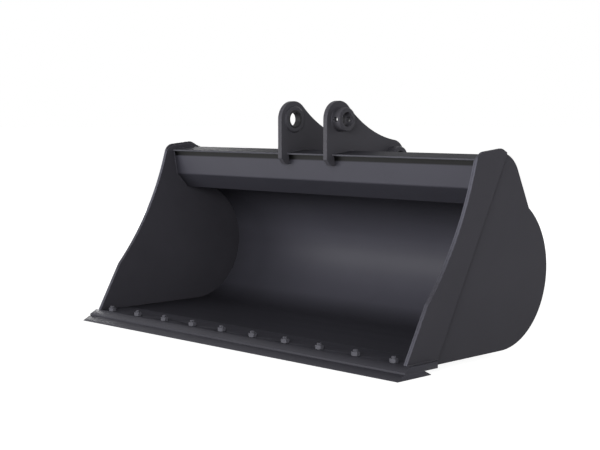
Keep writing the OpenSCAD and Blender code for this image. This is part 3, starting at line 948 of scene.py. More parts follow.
@dataclass(frozen=True)
class Plan:
    """Sizes and main points that several sub-assemblies share."""

    cut_w: float = 1500
    cutter_t: float = 8
    side_t: float = 6
    shell_t: float = 10
    heel_r: float = 244
    heel_y: float = 525
    bottom_up: float = 2.4
    edge_t: float = 16
    lip_t: float = 20
    lip_set: float = 31
    lip_d: float = 150
    top_t: float = 6
    face_t: float = 10
    rear_a: float = 55.5
    rear_l: float = 162.8
    rear_fall: float = 63.2
    slope_l: float = 89.2
    slope_fall: float = 22.3
    top_bend_r: float = 18
    top_over: float = 9
    face_a: float = 99.1
    face_low_l: float = 74.1
    face_fall: float = 45.6
    face_up_l: float = 88.8
    face_lean: float = 9.4
    face_bend_r: float = 14
    ear_t: float = 18
    ear_gap: float = 202
    ear_r: float = 63.5
    dipper_back: float = 36.5
    dipper_up: float = 118
    link_back: float = 134.4
    link_up: float = 4.8
    rim: float = 1.2
    ease: float = 1.6
    # Painted highlight, with thinned paint, on the flat edge faces of the side plates and cutters.
    side_wear: float = 0.1

    @cached_property
    def cutter_out(self) -> float:
        """X of a side cutter's outer face."""
        return self.cut_w / 2

    @cached_property
    def side_out(self) -> float:
        """X of a side plate's outer face."""
        return self.cutter_out - self.cutter_t

    @cached_property
    def side_in(self) -> float:
        """X of a side plate's inner face."""
        return self.side_out - self.side_t

    @cached_property
    def floor_z(self) -> float:
        """Height of the bucket's floor."""
        return self.edge_t + self.lip_t

    @cached_property
    def lip_rear(self) -> float:
        """Y of the lip plate's back edge."""
        return self.lip_set + self.lip_d

    @cached_property
    def heel(self) -> Points:
        """Middle of the round heel."""
        return np.array([self.heel_y, self.edge_t + self.bottom_up + self.heel_r])

    @cached_property
    def shell_in_r(self) -> float:
        """Inner radius of the shell's round back."""
        return self.heel[1] - self.floor_z

    @cached_property
    def shell_out_r(self) -> float:
        """Outer radius of the shell's round back."""
        return self.shell_in_r + self.shell_t

    @cached_property
    def rear_way(self) -> Points:
        """Direction down the tube's steep back."""
        return way(-self.rear_fall)

    @cached_property
    def rear_foot(self) -> Points:
        """Where the tube's back meets the shell."""
        return self.heel + self.shell_out_r * way(self.rear_a)

    @cached_property
    def rear_bend(self) -> Points:
        """The tube's rear bend, on its outer face."""
        return self.rear_foot - self.rear_l * self.rear_way

    @cached_property
    def ridge(self) -> Points:
        """The tube's ridge, on its outer face."""
        return self.rear_bend + self.slope_l * way(180 - self.slope_fall)

    @cached_property
    def face_way(self) -> Points:
        """Direction down the tube's lower front leg."""
        return way(-self.face_fall)

    @cached_property
    def face_inner_end(self) -> Points:
        """Where the front plate's inner face meets the shell's inner face."""
        return self.heel + self.shell_in_r * way(self.face_a)

    @cached_property
    def face_back(self) -> Points:
        """The front plate's bend, on its inner face, before it is rounded."""
        return self.face_inner_end - self.face_low_l * self.face_way

    @cached_property
    def face_bend(self) -> Points:
        """The front plate's bend, on its outer face."""
        return self.face_back - self.face_t * left_of(self.face_way)

    @cached_property
    def face_end(self) -> Points:
        """Lower end of the front plate, on its outer face."""
        return self.face_bend + self.face_low_l * self.face_way

    @cached_property
    def face_top(self) -> Points:
        """Upper end of the front plate, on its outer face."""
        lean = math.radians(self.face_lean)
        return self.face_bend + self.face_up_l * np.array([-math.sin(lean), math.cos(lean)])

    @cached_property
    def top_front(self) -> Points:
        """Front edge of the tube's top."""
        return self.face_top + [-self.top_over, self.top_t]

    @cached_property
    def under_front(self) -> Points:
        """Front edge of the top plate's underside."""
        return self.top_front - self.top_t * left_of(self.ridge - self.top_front)

    @cached_property
    def face_under_top(self) -> Points:
        """Where the front plate's outer face meets the top plate's underside."""
        return crossing(self.face_bend, self.face_top - self.face_bend, self.under_front,
                        self.ridge - self.top_front)

    @cached_property
    def ear_in(self) -> float:
        """X of a hanger's inner face."""
        return self.ear_gap / 2

    @cached_property
    def ear_out(self) -> float:
        """X of a hanger's outer face."""
        return self.ear_in + self.ear_t

    @cached_property
    def dipper(self) -> Points:
        """Axis of the dipper pin."""
        return self.top_front + [self.dipper_back, self.dipper_up]

    @cached_property
    def link(self) -> Points:
        """Axis of the link pin."""
        return self.rear_bend + [self.link_back, self.link_up]

    @cached_property
    def depth(self) -> float:
        """Depth of the whole bucket from the cutting tip to the back."""
        return max(self.link[0] + self.ear_r, self.heel_y + self.heel_r)

    def slab(self, outlines: Sequence[Outline], x0: float, x1: float, wear: float = 0.0) -> Surface:
        """Plate between two places across the width, with this bucket's rounded edge."""
        return plate(outlines, x0, x1, self.rim, self.depth / 2, wear)

    def spot(self, x: float, p: Points) -> Points:
        """Point [y, z] of a profile at a place across the width, in the frame's axes, in millimetres."""
        return np.array([x, p[0] - self.depth / 2, p[1]])

    def run(self, x: float, profile: Points) -> Points:
        """Profile points at a place across the width, in the frame's axes, in millimetres."""
        profile = np.asarray(profile)
        return np.column_stack([np.full(len(profile), x), profile[:, 0] - self.depth / 2, profile[:, 1]])


@dataclass
class Shell:
    """Rolled shell: the flat floor and the round back in one plate."""

    plan: Plan

    @cached_property
    def end(self) -> Points:
        """Where the shell's cut end meets its outer face, in line with the front plate's inner face.

        Returns:
            The point.
        """
        p = self.plan
        along = (p.face_inner_end - p.heel) @ -p.face_way
        out = math.sqrt(along**2 - p.shell_in_r**2 + p.shell_out_r**2) - along
        return p.face_inner_end - out * p.face_way

    def profile(self) -> Points:
        """Outline: the inner arc from the floor up, the cut end, the outer arc back and the underside.

        Returns:
            The outline's points, one a row.
        """
        p = self.plan
        inner = arc(p.heel, p.shell_in_r, -90, p.face_a)
        outer = arc(p.heel, p.shell_out_r, way_of(self.end - p.heel), -90)
        return np.vstack([[[p.lip_rear, p.floor_z]], inner, outer, [[p.lip_rear, p.floor_z - p.shell_t]]])

    def build(self, finishes: Finishes) -> None:
        """Makes the shell.

        Args:
            finishes: The bucket's finishes.
        """
        p = self.plan
        line = Outline.of(self.profile(), p.ease)
        Workshop.piece("shell", p.slab([line], -p.side_in, p.side_in), finishes.shell, Body.BUCKET, Slot.BODY,
                       ["shell_wrapper"])


@dataclass
class SidePlates:
    """The two side plates, with their hollow front edge, crown, crest and shoulder."""

    plan: Plan
    cheek_y: float = 57
    knee: tuple[float, float] = (150, 202)
    throat_r: float = 1055
    throat_fwd: float = 10.5
    throat_drop: float = 34
    crown_fwd: float = 20
    crown_up: float = 19.5
    crown_r: float = 40
    crest_fwd: float = 79
    crest_up: float = 27
    crest_r: float = 40
    shoulder_l: float = 19
    shoulder_r: float = 105
    cutter_proud: float = 6.5

    @cached_property
    def cheek(self) -> Points:
        """Foot of the front edge."""
        return np.array([self.cheek_y, self.plan.floor_z])

    @cached_property
    def crown(self) -> Points:
        """Front corner of the cutter's top edge."""
        return self.plan.top_front + [-self.crown_fwd, self.crown_up]

    @cached_property
    def throat(self) -> Points:
        """Upper end of the hollow curve."""
        return self.crown - [self.throat_fwd, self.throat_drop]

    @cached_property
    def back_edge(self) -> Points:
        """Point on the straight back edge beside the tube's rear bend."""
        p = self.plan
        return p.rear_bend + (p.heel_r - p.shell_out_r) * left_of(p.rear_way)

    @cached_property
    def shoulder(self) -> Points:
        """Corner at the top of the straight back edge."""
        return self.back_edge - self.shoulder_l * self.plan.rear_way

    @cached_property
    def crest(self) -> Points:
        """Highest point of the side plate."""
        return self.shoulder + [-self.crest_fwd, self.crest_up]

    @cached_property
    def back_join(self) -> Points:
        """Where the straight back edge runs into the round heel."""
        return meet(self.back_edge, self.plan.rear_way, self.plan.heel, self.plan.heel_r)

    def front(self) -> Points:
        """Front edge from its foot up: the straight cheek, then the hollow curve to the throat.

        Returns:
            The edge's points, one a row.
        """
        knee = np.array(self.knee, float)
        middle = circle_middle(knee, self.throat, self.throat_r)
        hollow = arc(middle, self.throat_r, way_of(knee - middle), way_of(self.throat - middle), FINE_STEP)
        return np.vstack([self.cheek[None], hollow])

    def profile(self) -> Points:
        """Outline from the foot of the front edge over the crown, crest and shoulder and round the heel.

        Returns:
            The outline's points, one a row.
        """
        p = self.plan
        top = rounded([(self.throat, 0), (self.crown - [0, self.cutter_proud], self.crown_r),
                       (self.crest, self.crest_r), (self.shoulder, self.shoulder_r), (self.back_join, 0)],
                      closed=False)
        heel = arc(p.heel, p.heel_r, way_of(self.back_join - p.heel), -90)
        low = [[p.lip_rear, p.edge_t + p.bottom_up], [p.lip_rear, p.floor_z]]
        return np.vstack([self.front(), top[1:], heel[1:], low])

    def build(self, finishes: Finishes) -> None:
        """Makes both side plates.

        Args:
            finishes: The bucket's finishes.
        """
        p = self.plan
        line = Outline.of(self.profile(), p.ease)
        for side in Side:
            surface = p.slab([line], side.value * p.side_in, side.value * p.side_out, p.side_wear)
            Workshop.piece(f"side_plate_{side.word}_skin", surface, finishes.side, Body.BUCKET, Slot.BODY,
                           [f"side_plate_{side.word}"])


@dataclass
class SideCutters:
    """The strips laid outside the side plates along their front edges."""

    plan: Plan
    sides: SidePlates
    foot_y: float = 199
    back: float = 30
    fall: float = 8
    corner_r: float = 5

    def profile(self) -> Points:
        """Outline along the side plate's front edge, over the crown, and straight down the back edge.

        Returns:
            The outline's points, one a row.
        """
        s = self.sides
        top = rounded([(s.throat, 0), (s.crown, s.crown_r), (s.crest + [0, s.cutter_proud], s.crest_r),
                       (s.crest + [self.back, -self.fall], self.corner_r),
                       ([self.foot_y, self.plan.floor_z], 0)], closed=False)
        return np.vstack([s.front(), top[1:]])

    def build(self, finishes: Finishes) -> None:
        """Makes both side cutters.

        Args:
            finishes: The bucket's finishes.
        """
        p = self.plan
        line = Outline.of(self.profile(), p.ease)
        for side in Side:
            surface = p.slab([line], side.value * p.side_out, side.value * p.cutter_out, p.side_wear)
            Workshop.piece(f"side_cutter_{side.word}_strip", surface, finishes.side, Body.BUCKET, Slot.CUTTER,
                           [f"side_cutter_{side.word}"])


@dataclass
class TorqueTube:
    """The closed tube across the top: a folded top plate and a folded front plate over two ribs."""

    plan: Plan

    def top_profile(self) -> Points:
        """Outline of the top plate, cut to the shell's outer circle at its foot.

        Returns:
            The outline's points, one a row.
        """
        p = self.plan
        path = np.array([p.top_front, p.ridge, p.rear_bend, p.rear_foot])
        under = beside(path, -p.top_t)
        under[3] = meet(under[2], p.rear_way, p.heel, p.shell_out_r)
        inner_r = p.top_bend_r - p.top_t
        return rounded([(path[0], 0), (path[1], p.top_bend_r), (path[2], p.top_bend_r), (path[3], 0),
                        (under[3], 0), (under[2], inner_r), (under[1], inner_r), (under[0], 0)])

    def front_profile(self) -> Points:
        """Outline of the front plate, cut to the top plate's underside.

        Returns:
            The outline's points, one a row.
        """
        p = self.plan
        inner_top = crossing(p.face_back, p.face_top - p.face_bend, p.under_front, p.ridge - p.top_front)
        return rounded([(p.face_under_top, 0), (p.face_bend, p.face_bend_r), (p.face_end, 0),
                        (p.face_inner_end, 0), (p.face_back, p.face_bend_r - p.face_t), (inner_top, 0)])

    def build(self, finishes: Finishes) -> None:
        """Makes the two plates and paints the ribs.

        Args:
            finishes: The bucket's finishes.
        """
        p = self.plan
        for name, node, profile, finish in (
                ("tube_top", "tube_top_plate", self.top_profile(), finishes.tube_top),
                ("tube_front", "tube_front_plate", self.front_profile(), finishes.tube)):
            line = Outline.of(profile, p.ease)
            Workshop.piece(name, p.slab([line], -p.side_in, p.side_in), finish, Body.BUCKET, Slot.BODY,
                           [node])
        for side in Side:
            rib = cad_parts[f"tube_rib_{side.word}"]
            rib.data.materials.clear()
            rib.data.materials.append(finishes.tube)


@dataclass
class Hangers:
    """The two ears that carry the pins, with their feet over the tube's front edge."""

    plan: Plan
    dip_r: float = 440
    foot_drop: float = 39
    foot_snip: tuple[float, float] = (18, 21)
    toe_a: float = 18
    toe_h: float = 28
    bush_d: float = 64
    # Painted highlight, with thinned paint, on the hangers' flat edge faces.
    wear: float = 0.2

    @cached_property
    def foot(self) -> Points:
        """Lowest point of the front edge, before its corner is cut."""
        p = self.plan
        return p.top_front + [p.dipper_back - p.ear_r, -self.foot_drop]

    @cached_property
    def toe(self) -> Points:
        """Lower end of the back edge, behind the shell."""
        p = self.plan
        return p.heel + (p.shell_out_r + self.toe_h) * way(self.toe_a)

    def profile(self) -> Points:
        """Outline: over the dipper pin, the hollow, the link pin, down to the toe, and back along the tube.

        Returns:
            The outline's points, one a row.
        """
        p = self.plan
        gap = p.link - p.dipper
        reach = self.dip_r + p.ear_r
        dip = (p.dipper + p.link) / 2 + left_of(gap) * math.sqrt(reach**2 - gap @ gap / 4)
        over_dipper, over_link = way_of(dip - p.dipper), way_of(dip - p.link)
        to_toe = self.toe - p.link
        leave = way_of(to_toe) + math.degrees(math.acos(p.ear_r / np.linalg.norm(to_toe)))
        tube = rounded([(p.face_under_top, 0), (p.under_front, 0), (p.top_front, 0), (p.ridge, p.top_bend_r),
                        (p.rear_bend, p.top_bend_r), (p.rear_foot, 0)], closed=False)[::-1]
        face = unit(p.face_bend - p.face_top)
        foot_back = crossing(p.face_top, face, self.foot, np.array([1.0, 0.0]))
        return np.vstack([
            arc(p.dipper, p.ear_r, 180, over_dipper),
            arc(dip, self.dip_r, over_dipper - 180, over_link - 180),
            arc(p.link, p.ear_r, over_link, leave), [self.toe],
            arc(p.heel, p.shell_out_r, self.toe_a, p.rear_a), tube, [foot_back],
            [self.foot + [self.foot_snip[0], 0]], [self.foot + [0, self.foot_snip[1]]]])

    def build(self, finishes: Finishes) -> None:
        """Makes both hangers, bored for their bushes.

        Args:
            finishes: The bucket's finishes.
        """
        p = self.plan
        bores = [Outline.of(arc(c, self.bush_d / 2, 0, 360 - ARC_STEP, BORE_STEP), p.ease, hole=True)
                 for c in (p.dipper, p.link)]
        outer = Outline.of(self.profile(), p.ease)
        for side in Side:
            surface = p.slab([outer, *bores], side.value * p.ear_in, side.value * p.ear_out, self.wear)
            Workshop.piece(f"hanger_{side.word}_ear", surface, finishes.hanger, Body.BUCKET, Slot.HANGER,
                           [f"hanger_{side.word}"])


@dataclass
class PinBosses:
    """Bushes, wear rings and lock collars round the two pins."""

    plan: Plan
    bore_r: float = 25.05
    bush_d: float = 64
    bush_out: float = 3.5
    ring_d: float = 90
    ring_t: float = 5
    chamfer: float = 2
    bush_chamfer: float = 0.8
    ease: float = 0.7
    collar_ease: float = 0.8

    def sleeve(self, p: Points, x0: float, x1: float, inner: float, outer: float, bevel: float) -> Surface:
        """Round sleeve on a pin's axis from x0 to x1, chamfered outside at x1.

        Args:
            p: The pin's axis in the profile.
            x0: X of one end.
            x1: X of the chamfered end.
            inner: Radius of the bore.
            outer: Outer radius.
            bevel: Size of the chamfer.

        Returns:
            The sleeve's surface.
        """
        sense = math.copysign(1, x1 - x0)
        profile = [[x0, inner], [x1, inner], [x1, outer - bevel], [x1 - sense * bevel, outer], [x0, outer]]
        return turned(Outline.of(np.array(profile), self.ease), self.plan.spot(0, p))

    def build(self, finishes: Finishes) -> None:
        """Makes the bushes, the wear rings and the lock collars.

        Args:
            finishes: The bucket's finishes.
        """
        p = self.plan
        for pin, centre in (("dipper", p.dipper), ("link", p.link)):
            for side in Side:
                s = side.value
                out = self.bush_out if side is Side.LEFT else 0
                surface = self.sleeve(centre, s * (p.ear_in - self.ring_t), s * (p.ear_out + out),
                                      self.bore_r, self.bush_d / 2, self.bush_chamfer)
                Workshop.piece(f"{pin}_sleeve_{side.word}", surface, finishes.bush, Body.BUCKET, Slot.BUSH,
                               [f"{pin}_bush_{side.word}"])
                surface = self.sleeve(centre, s * p.ear_in, s * (p.ear_in - self.ring_t), self.bush_d / 2,
                                      self.ring_d / 2, self.chamfer)
                Workshop.piece(f"{pin}_washer_{side.word}", surface, finishes.hanger, Body.BUCKET,
                               Slot.HANGER, [f"{pin}_ring_{side.word}"])
            Workshop.eased_copy(f"{pin}_collar", f"{pin}_lock_collar", self.collar_ease, finishes.hanger,
                                Body.BUCKET, Slot.HANGER)


@dataclass
class LipAndEdge:
    """The lip plate under the floor's front, and the reversible cutting edge bolted beneath it."""

    lip_ease: float = 1.0
    edge_ease: float = 0.7

    def build(self, finishes: Finishes) -> None:
        """Makes the lip plate and the edge with their bolt holes, corners eased."""
        Workshop.eased_copy("lip", "lip_plate", self.lip_ease, finishes.edge, Body.BUCKET, Slot.BODY)
        Workshop.eased_copy("edge_bar", "bolt_on_edge", self.edge_ease, finishes.edge, Body.EDGE, Slot.EDGE)


@dataclass
class EdgeBolts:
    """Ten plough bolts through the edge and the lip, with their nuts on the floor."""

    plan: Plan
    count: int = 10
    pitch: float = 152.4
    row_y: float = 75
    bolt_r: float = 8
    head_r: float = 15
    head_h: float = 8
    head_sunk: float = 0.5
    nut_af: float = 24
    nut_h: float = 13
    nut_crown: float = 0.95
    nut_cone: float = 30
    nut_chamfer: float = 1
    end: float = 6.5
    end_cone: float = 1.6
    head_rim: float = 0.4
    thread: float = 2.0
    thread_h: float = 1.0
    thread_from: float = 7
    gap: float = 0.3
    round_steps: int = 40

    def places(self) -> Points:
        """X of each bolt."""
        return (np.arange(self.count) - (self.count - 1) / 2) * self.pitch

    def row(self, one: Surface) -> Surface:
        """Copies of one surface along the row.

        Args:
            one: Surface at the middle of the row.

        Returns:
            All the copies in one surface.
        """
        shifts = [np.array([x, self.row_y - self.plan.depth / 2, 0]) * MM for x in self.places()]
        copies = [one.moved(s) for s in shifts]
        return sum(copies[1:], copies[0])

    def nut(self) -> Surface:
        """One nut.

        At each angle its corner radius is half its width over the cosine of the angle from the nearest
        flat's middle, and a thirty-degree cone cuts its top and bottom corners.

        Returns:
            The nut on the floor, at the middle of the row.
        """
        degrees = np.arange(0, 360, 5.0)
        angle, one = np.radians(degrees), np.ones_like(degrees)
        half = self.nut_af / 2
        corner = half / np.cos(np.radians((degrees + 30) % 60 - 30))
        crown, bore = half * self.nut_crown * one, (self.bolt_r + self.gap) * one
        drop = (corner - crown) * math.tan(math.radians(self.nut_cone))
        top = self.nut_h * one
        r = np.array([bore, crown, corner, corner, crown, bore + self.nut_chamfer, bore])
        z = np.array([0 * one, 0 * one, drop, top - drop, top, top, top - self.nut_chamfer])
        points = np.stack([r * np.cos(angle), r * np.sin(angle), z + self.plan.floor_z], -1)
        return Surface(points.reshape(-1, 3) * MM, [grid_faces(len(r), len(angle), True, True)])

    def bolt(self) -> Surface:
        """One bolt: a countersunk head, a shank and a thread.

        The thread's depth is a triangle wave of the height over the pitch less the share of a turn, so that
        it winds up the bolt. Under the bolt's end the radius grows by one for each one down, as a cone.

        Returns:
            The bolt in the edge and the lip, at the middle of the row.
        """
        floor = self.plan.floor_z
        top = floor + self.nut_h + self.end
        angle = np.linspace(0, 2 * np.pi, self.round_steps, endpoint=False)
        low = np.array([[0, 0.0], [0, self.head_r - self.head_rim], [self.head_rim, self.head_r],
                        [self.head_h, self.bolt_r],
                        [floor - self.thread_from - 1 - self.head_sunk, self.bolt_r]])
        winding = np.arange(floor - self.thread_from, top, self.thread / 6)
        z = np.concatenate([low[:, 0] + self.head_sunk, winding])
        r = np.concatenate([low[:, 1], np.full(len(z) - len(low), self.bolt_r)])
        z, r = np.append(z, [top, top]), np.append(r, [self.bolt_r, 0.0])
        turn = z[:, None] / self.thread - angle[None] / (2 * np.pi)
        groove = self.thread_h * np.abs(2 * (turn % 1) - 1)
        threaded = ((z > floor - self.thread_from - 0.5) & (r > 0))[:, None]
        cone = self.bolt_r - self.end_cone + np.maximum(top - z, 0)[:, None]
        radius = np.minimum(np.where(threaded, r[:, None] - groove, r[:, None]), np.maximum(cone, 0))
        radius[[0, -1]] = CLOSED_R
        points = np.stack([radius * np.cos(angle), radius * np.sin(angle), z[:, None] + 0 * angle], -1)
        rows, ring = len(z), np.arange(len(angle))[None]
        faces = [grid_faces(rows, len(angle), False, True), ring[:, ::-1], ring + (rows - 1) * len(angle)]
        return Surface(points.reshape(-1, 3) * MM, faces)

    def build(self, finishes: Finishes) -> None:
        """Makes the row of bolts and the row of nuts.

        Args:
            finishes: The bucket's finishes.
        """
        Workshop.piece("plough_bolts", self.row(self.bolt()), finishes.fastener, Body.EDGE, Slot.FASTENER,
                       ["edge_bolts"], sharp=35)
        Workshop.piece("hex_nuts", self.row(self.nut()), finishes.fastener, Body.NUTS, Slot.FASTENER,
                       ["edge_nuts"], sharp=25)


@dataclass
class Welds:
    """Fillet weld beads along the joints between the plates, with a fine ripple."""

    plan: Plan
    sides: SidePlates
    cutters: SideCutters
    hangers: Hangers
    leg: float = 3.5
    fine_leg: float = 2.5
    collar_r: float = 40
    ring_r: float = 45
    start_turn: float = 1
    lip_gap: float = 4
    top_gap: float = 6
    foot_gap: float = 2

    def along(self, x: float, profile: Sequence[Points], toward: float, leg: float) -> Surface:
        """Bead beside a plate that stands square to X.

        Args:
            x: X of the plate's face.
            profile: Points of the joint; the open corner lies on the left of their path.
            toward: Sign of the X direction away from the plate.
            leg: Size of the bead.

        Returns:
            The bead's surface.
        """
        profile = np.vstack([np.atleast_2d(p) for p in profile])
        side = left_of(np.gradient(profile, axis=0))
        first = np.column_stack([np.zeros(len(side)), side])
        return bead(self.plan.run(x, profile), first, np.array([toward, 0.0, 0.0]), leg)

    def across(self, x0: float, x1: float, p: Points, first: Points, second: Points) -> Surface:
        """Bead across the width at a point of the profile, between two directions of the profile."""
        path = np.array([self.plan.spot(x, p) for x in (x0, x1)])
        return bead(path, np.array([0.0, *first]), np.array([0.0, *second]), self.leg)

    def tube_top(self) -> Points:
        """Path over the tube's top from its front edge to its foot on the shell.

        Returns:
            The path's points, one a row.
        """
        p = self.plan
        return rounded([(p.top_front, 0), (p.ridge, p.top_bend_r), (p.rear_bend, p.top_bend_r),
                        (p.rear_foot, 0)], closed=False)

    def shell_beads(self) -> list[Surface]:
        """Beads between the side plates and the shell, on the outside.

        Returns:
            The beads.
        """
        p = self.plan
        outside = [arc(p.heel, p.shell_out_r, p.rear_a - self.start_turn, -90),
                   [p.lip_rear + self.lip_gap, p.floor_z - p.shell_t]]
        return [self.along(side.value * p.side_in, outside, -side.value, self.leg) for side in Side]

    def tube_beads(self) -> list[Surface]:
        """Beads round the tube: to the side plates at its ends, and to the shell along its foot.

        Returns:
            The beads.
        """
        p = self.plan
        front = rounded([(p.face_end, 0), (p.face_bend, p.face_bend_r), (p.face_under_top, 0)], closed=False)
        spans = ((-p.side_in, -p.ear_out), (-p.ear_in, p.ear_in), (p.ear_out, p.side_in))
        down = -left_of(way(p.rear_a))
        beads = [self.across(x0, x1, p.rear_foot, -p.rear_way, down) for x0, x1 in spans]
        beads.append(self.across(-p.side_in, p.side_in, p.face_inner_end, -left_of(p.face_way),
                                 -left_of(way(p.face_a))))
        for side in Side:
            s = side.value
            beads += [self.along(s * p.side_in, [self.tube_top()], -s, self.fine_leg),
                      self.along(s * p.side_in, [front], -s, self.fine_leg)]
        return beads

    def hanger_beads(self) -> list[Surface]:
        """Beads on both faces of each hanger, along the tube and the shell, and round the bosses.

        Returns:
            The beads.
        """
        p = self.plan
        root = [self.tube_top(), arc(p.heel, p.shell_out_r, p.rear_a - self.start_turn,
                                     self.hangers.toe_a + self.start_turn)]
        beads = []
        for side in Side:
            s = side.value
            beads += [self.along(s * p.ear_in, root, -s, self.leg),
                      self.along(s * p.ear_out, root, s, self.leg)]
            beads += [self.along(s * p.ear_in, [arc(c, self.ring_r, 90, -270, RING_STEP)], -s, self.fine_leg)
                      for c in (p.dipper, p.link)]
        beads += [self.along(p.ear_out, [arc(c, self.collar_r, 90, -270, RING_STEP)], 1, self.fine_leg)
                  for c in (p.dipper, p.link)]
        return beads

    def cutter_beads(self) -> list[Surface]:
        """Beads behind each side cutter and along its foot on the lip.

        Returns:
            The beads.
        """
        p = self.plan
        top = self.sides.crest + [self.cutters.back, -self.cutters.fall]
        foot = np.array([self.cutters.foot_y, p.floor_z])
        down = unit(foot - top)
        beads = []
        for side in Side:
            s = side.value
            beads += [self.along(s * p.side_out, [top + self.top_gap * down, foot], s, self.fine_leg),
                      self.along(s * p.cutter_out, [[self.sides.cheek_y + self.foot_gap, p.floor_z],
                                                    [p.lip_rear, p.floor_z]], s, self.fine_leg)]
        return beads

    def build(self, finishes: Finishes) -> None:
        """Makes the beads, one piece for each sub-assembly that they hold together.

        Args:
            finishes: The bucket's finishes.
        """
        for name, beads in (("shell_beads", self.shell_beads()), ("tube_beads", self.tube_beads()),
                            ("hanger_beads", self.hanger_beads()), ("cutter_beads", self.cutter_beads())):
            Workshop.piece(name, sum(beads[1:], beads[0]), finishes.side, Body.BUCKET, Slot.BODY)


@dataclass(frozen=True)
class Lamp:
    """Soft oblong lamp that faces the bucket.

    Attributes:
        name: Name of the lamp.
        azimuth: Its direction from the bucket's front, towards the right, in degrees.
        elevation: Its height over the bucket's middle, in degrees.
        size: Its width and height, in metres.
        level: Its light on the bucket, where a white sheet that faces it shows that level.
        reach: Its distance, in metres.
        aim: Height of the bucket's middle, in metres.
    """

    name: str
    azimuth: float
    elevation: float
    size: tuple[float, float]
    level: float
    reach: float = 6.0
    aim: float = 0.35

    def hang(self) -> None:
        """Puts the lamp up: its power is the level times pi squared times its distance squared."""
        data = bpy.data.lights.new(self.name, "AREA")
        data.shape, data.size, data.size_y = "RECTANGLE", *self.size
        data.energy = self.level * math.pi**2 * self.reach**2
        turn, rise = math.radians(self.azimuth), math.radians(self.elevation)
        flat = self.reach * math.cos(rise)
        middle = Vector((0, 0, self.aim))
        lamp = bpy.data.objects.new(self.name, data)
        lamp.location = middle + Vector(
            (flat * math.sin(turn), -flat * math.cos(turn), self.reach * math.sin(rise)))
        lamp.rotation_euler = (middle - lamp.location).to_track_quat("-Z", "Y").to_euler()
        bpy.context.scene.collection.objects.link(lamp)


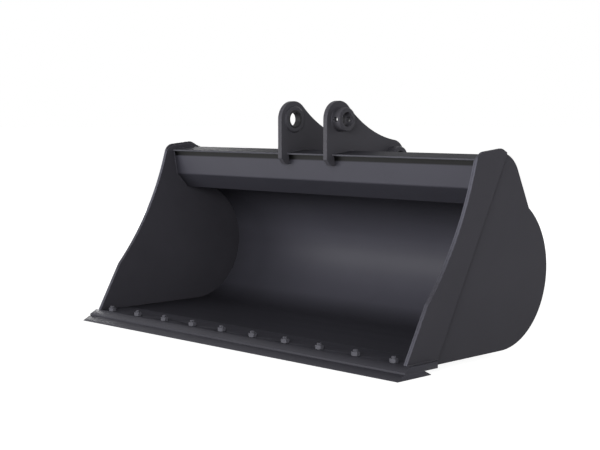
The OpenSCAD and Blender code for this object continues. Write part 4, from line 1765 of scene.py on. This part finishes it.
@dataclass
class Studio:
    """Pale floor, soft lamps and the camera at the photograph's view.

    Attributes:
        plan: Sizes of the bucket.
        lens: Focal length, in millimetres.
        sensor: Width of the camera's sensor, in millimetres.
        spot: The camera's place, in metres, with Y counted from the cutting tip.
        look: Direction that the camera looks in.
        ambient: Light from all round.
        floor_size: Half the floor's width, in metres.
        floor_tones: Least and greatest grey of the floor.
        floor_glow: White that the floor shows to the camera, near the bucket and away from it.
        glow_reach: Distances from the middle between which the glow rises, in metres.
        lamps: The lamps.
    """

    plan: Plan
    lens: float = 75.26
    sensor: float = 36.0
    spot: tuple[float, float, float] = (3.05764, -2.67786, 0.75834)
    look: tuple[float, float, float] = (-0.70549, 0.70331, -0.08736)
    ambient: float = 0.02
    floor_size: float = 60.0
    floor_tones: tuple[float, float] = (0.38, 0.42)
    floor_glow: tuple[float, float] = (0.93, 1.01)
    glow_reach: tuple[float, float] = (1.1, 2.6)
    lamps: tuple[Lamp, ...] = (
        Lamp("left_lamp", -36, 6, (3.0, 1.4), 0.43),
        Lamp("front_lamp", 28, 12, (3.0, 2.0), 0.49),
        Lamp("right_lamp", 74, 7, (3.0, 1.4), 0.15),
        Lamp("back_lamp", 180, 24, (3.0, 1.4), 0.4),
        Lamp("back_left_lamp", -115, 8, (3.0, 1.4), 0.3),
    )

    def floor(self) -> None:
        """Plain pale floor that shows white to the camera away from the shadow."""
        shader = Shader(bpy.data.materials.new("pale_floor"))
        tone = shader.mix(shader.noise(40.0, 2.0), *((grey,) * 3 for grey in self.floor_tones))
        base = shader.node("ShaderNodeBsdfDiffuse", {}, Color=tone)
        away = shader.node("ShaderNodeVectorMath", {"operation": "LENGTH"}, out="Value",
                           **{"0": shader.place})
        bright = shader.mix(shader.ramp(away, *self.glow_reach), *((white,) * 3 for white in self.floor_glow))
        glow = shader.node("ShaderNodeEmission", {}, Color=bright, Strength=1.0)
        both = shader.node("ShaderNodeAddShader", {}, **{"0": base, "1": glow})
        shader.end(shader.node("ShaderNodeMixShader", {}, **{"0": shader.seen(), "1": base, "2": both}))
        corners = np.array([[-1, -1, 0], [1, -1, 0], [1, 1, 0], [-1, 1, 0]]) * self.floor_size
        mesh = Workshop.mesh("floor", Surface(corners, [np.array([[0, 1, 2, 3]])]))
        mesh.materials.append(shader.owner)
        floor = bpy.data.objects.new("floor", mesh)
        bpy.context.scene.collection.objects.link(floor)
        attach(floor, Body.EDGE.value)

    def world(self) -> None:
        """White background for the camera and for reflections, and a plain low light from all round."""
        world = bpy.data.worlds.new("studio")
        bpy.context.scene.world = world
        shader = Shader(world)
        low, white = (shader.node("ShaderNodeBackground", {}, Color=(1, 1, 1, 1), Strength=strength)
                      for strength in (self.ambient, 1.0))
        shader.end(shader.node("ShaderNodeMixShader", {}, **{"0": shader.seen(), "1": low, "2": white}))

    def camera(self) -> None:
        """Camera at the photograph's view."""
        data = bpy.data.cameras.new("camera")
        data.lens, data.sensor_width = self.lens, self.sensor
        camera = bpy.data.objects.new("camera", data)
        camera.location = Vector(self.spot) - Vector((0, self.plan.depth / 2 * MM, 0))
        camera.rotation_euler = Vector(self.look).to_track_quat("-Z", "Y").to_euler()
        bpy.context.scene.collection.objects.link(camera)
        bpy.context.scene.camera = camera

    def build(self) -> None:
        """Sets the whole studio."""
        self.floor()
        self.world()
        for lamp in self.lamps:
            lamp.hang()
        self.camera()
        bpy.context.scene.view_settings.view_transform = "Standard"


def main() -> None:
    """Builds the studio and every sub-assembly in order."""
    logging.basicConfig(level=logging.INFO, format="%(name)s: %(message)s")
    plan = Plan()
    log.info("depth %.3f mm, frame %.3f mm", plan.depth, (CAD_BOX[1] - CAD_BOX[0]).y / MM)
    Studio(plan).build()
    finishes = Finishes()
    sides = SidePlates(plan)
    Shell(plan).build(finishes)
    sides.build(finishes)
    cutters = SideCutters(plan, sides)
    cutters.build(finishes)
    TorqueTube(plan).build(finishes)
    hangers = Hangers(plan)
    hangers.build(finishes)
    PinBosses(plan).build(finishes)
    Welds(plan, sides, cutters, hangers).build(finishes)
    LipAndEdge().build(finishes)
    EdgeBolts(plan).build(finishes)


if __name__ == "__main__":
    main()
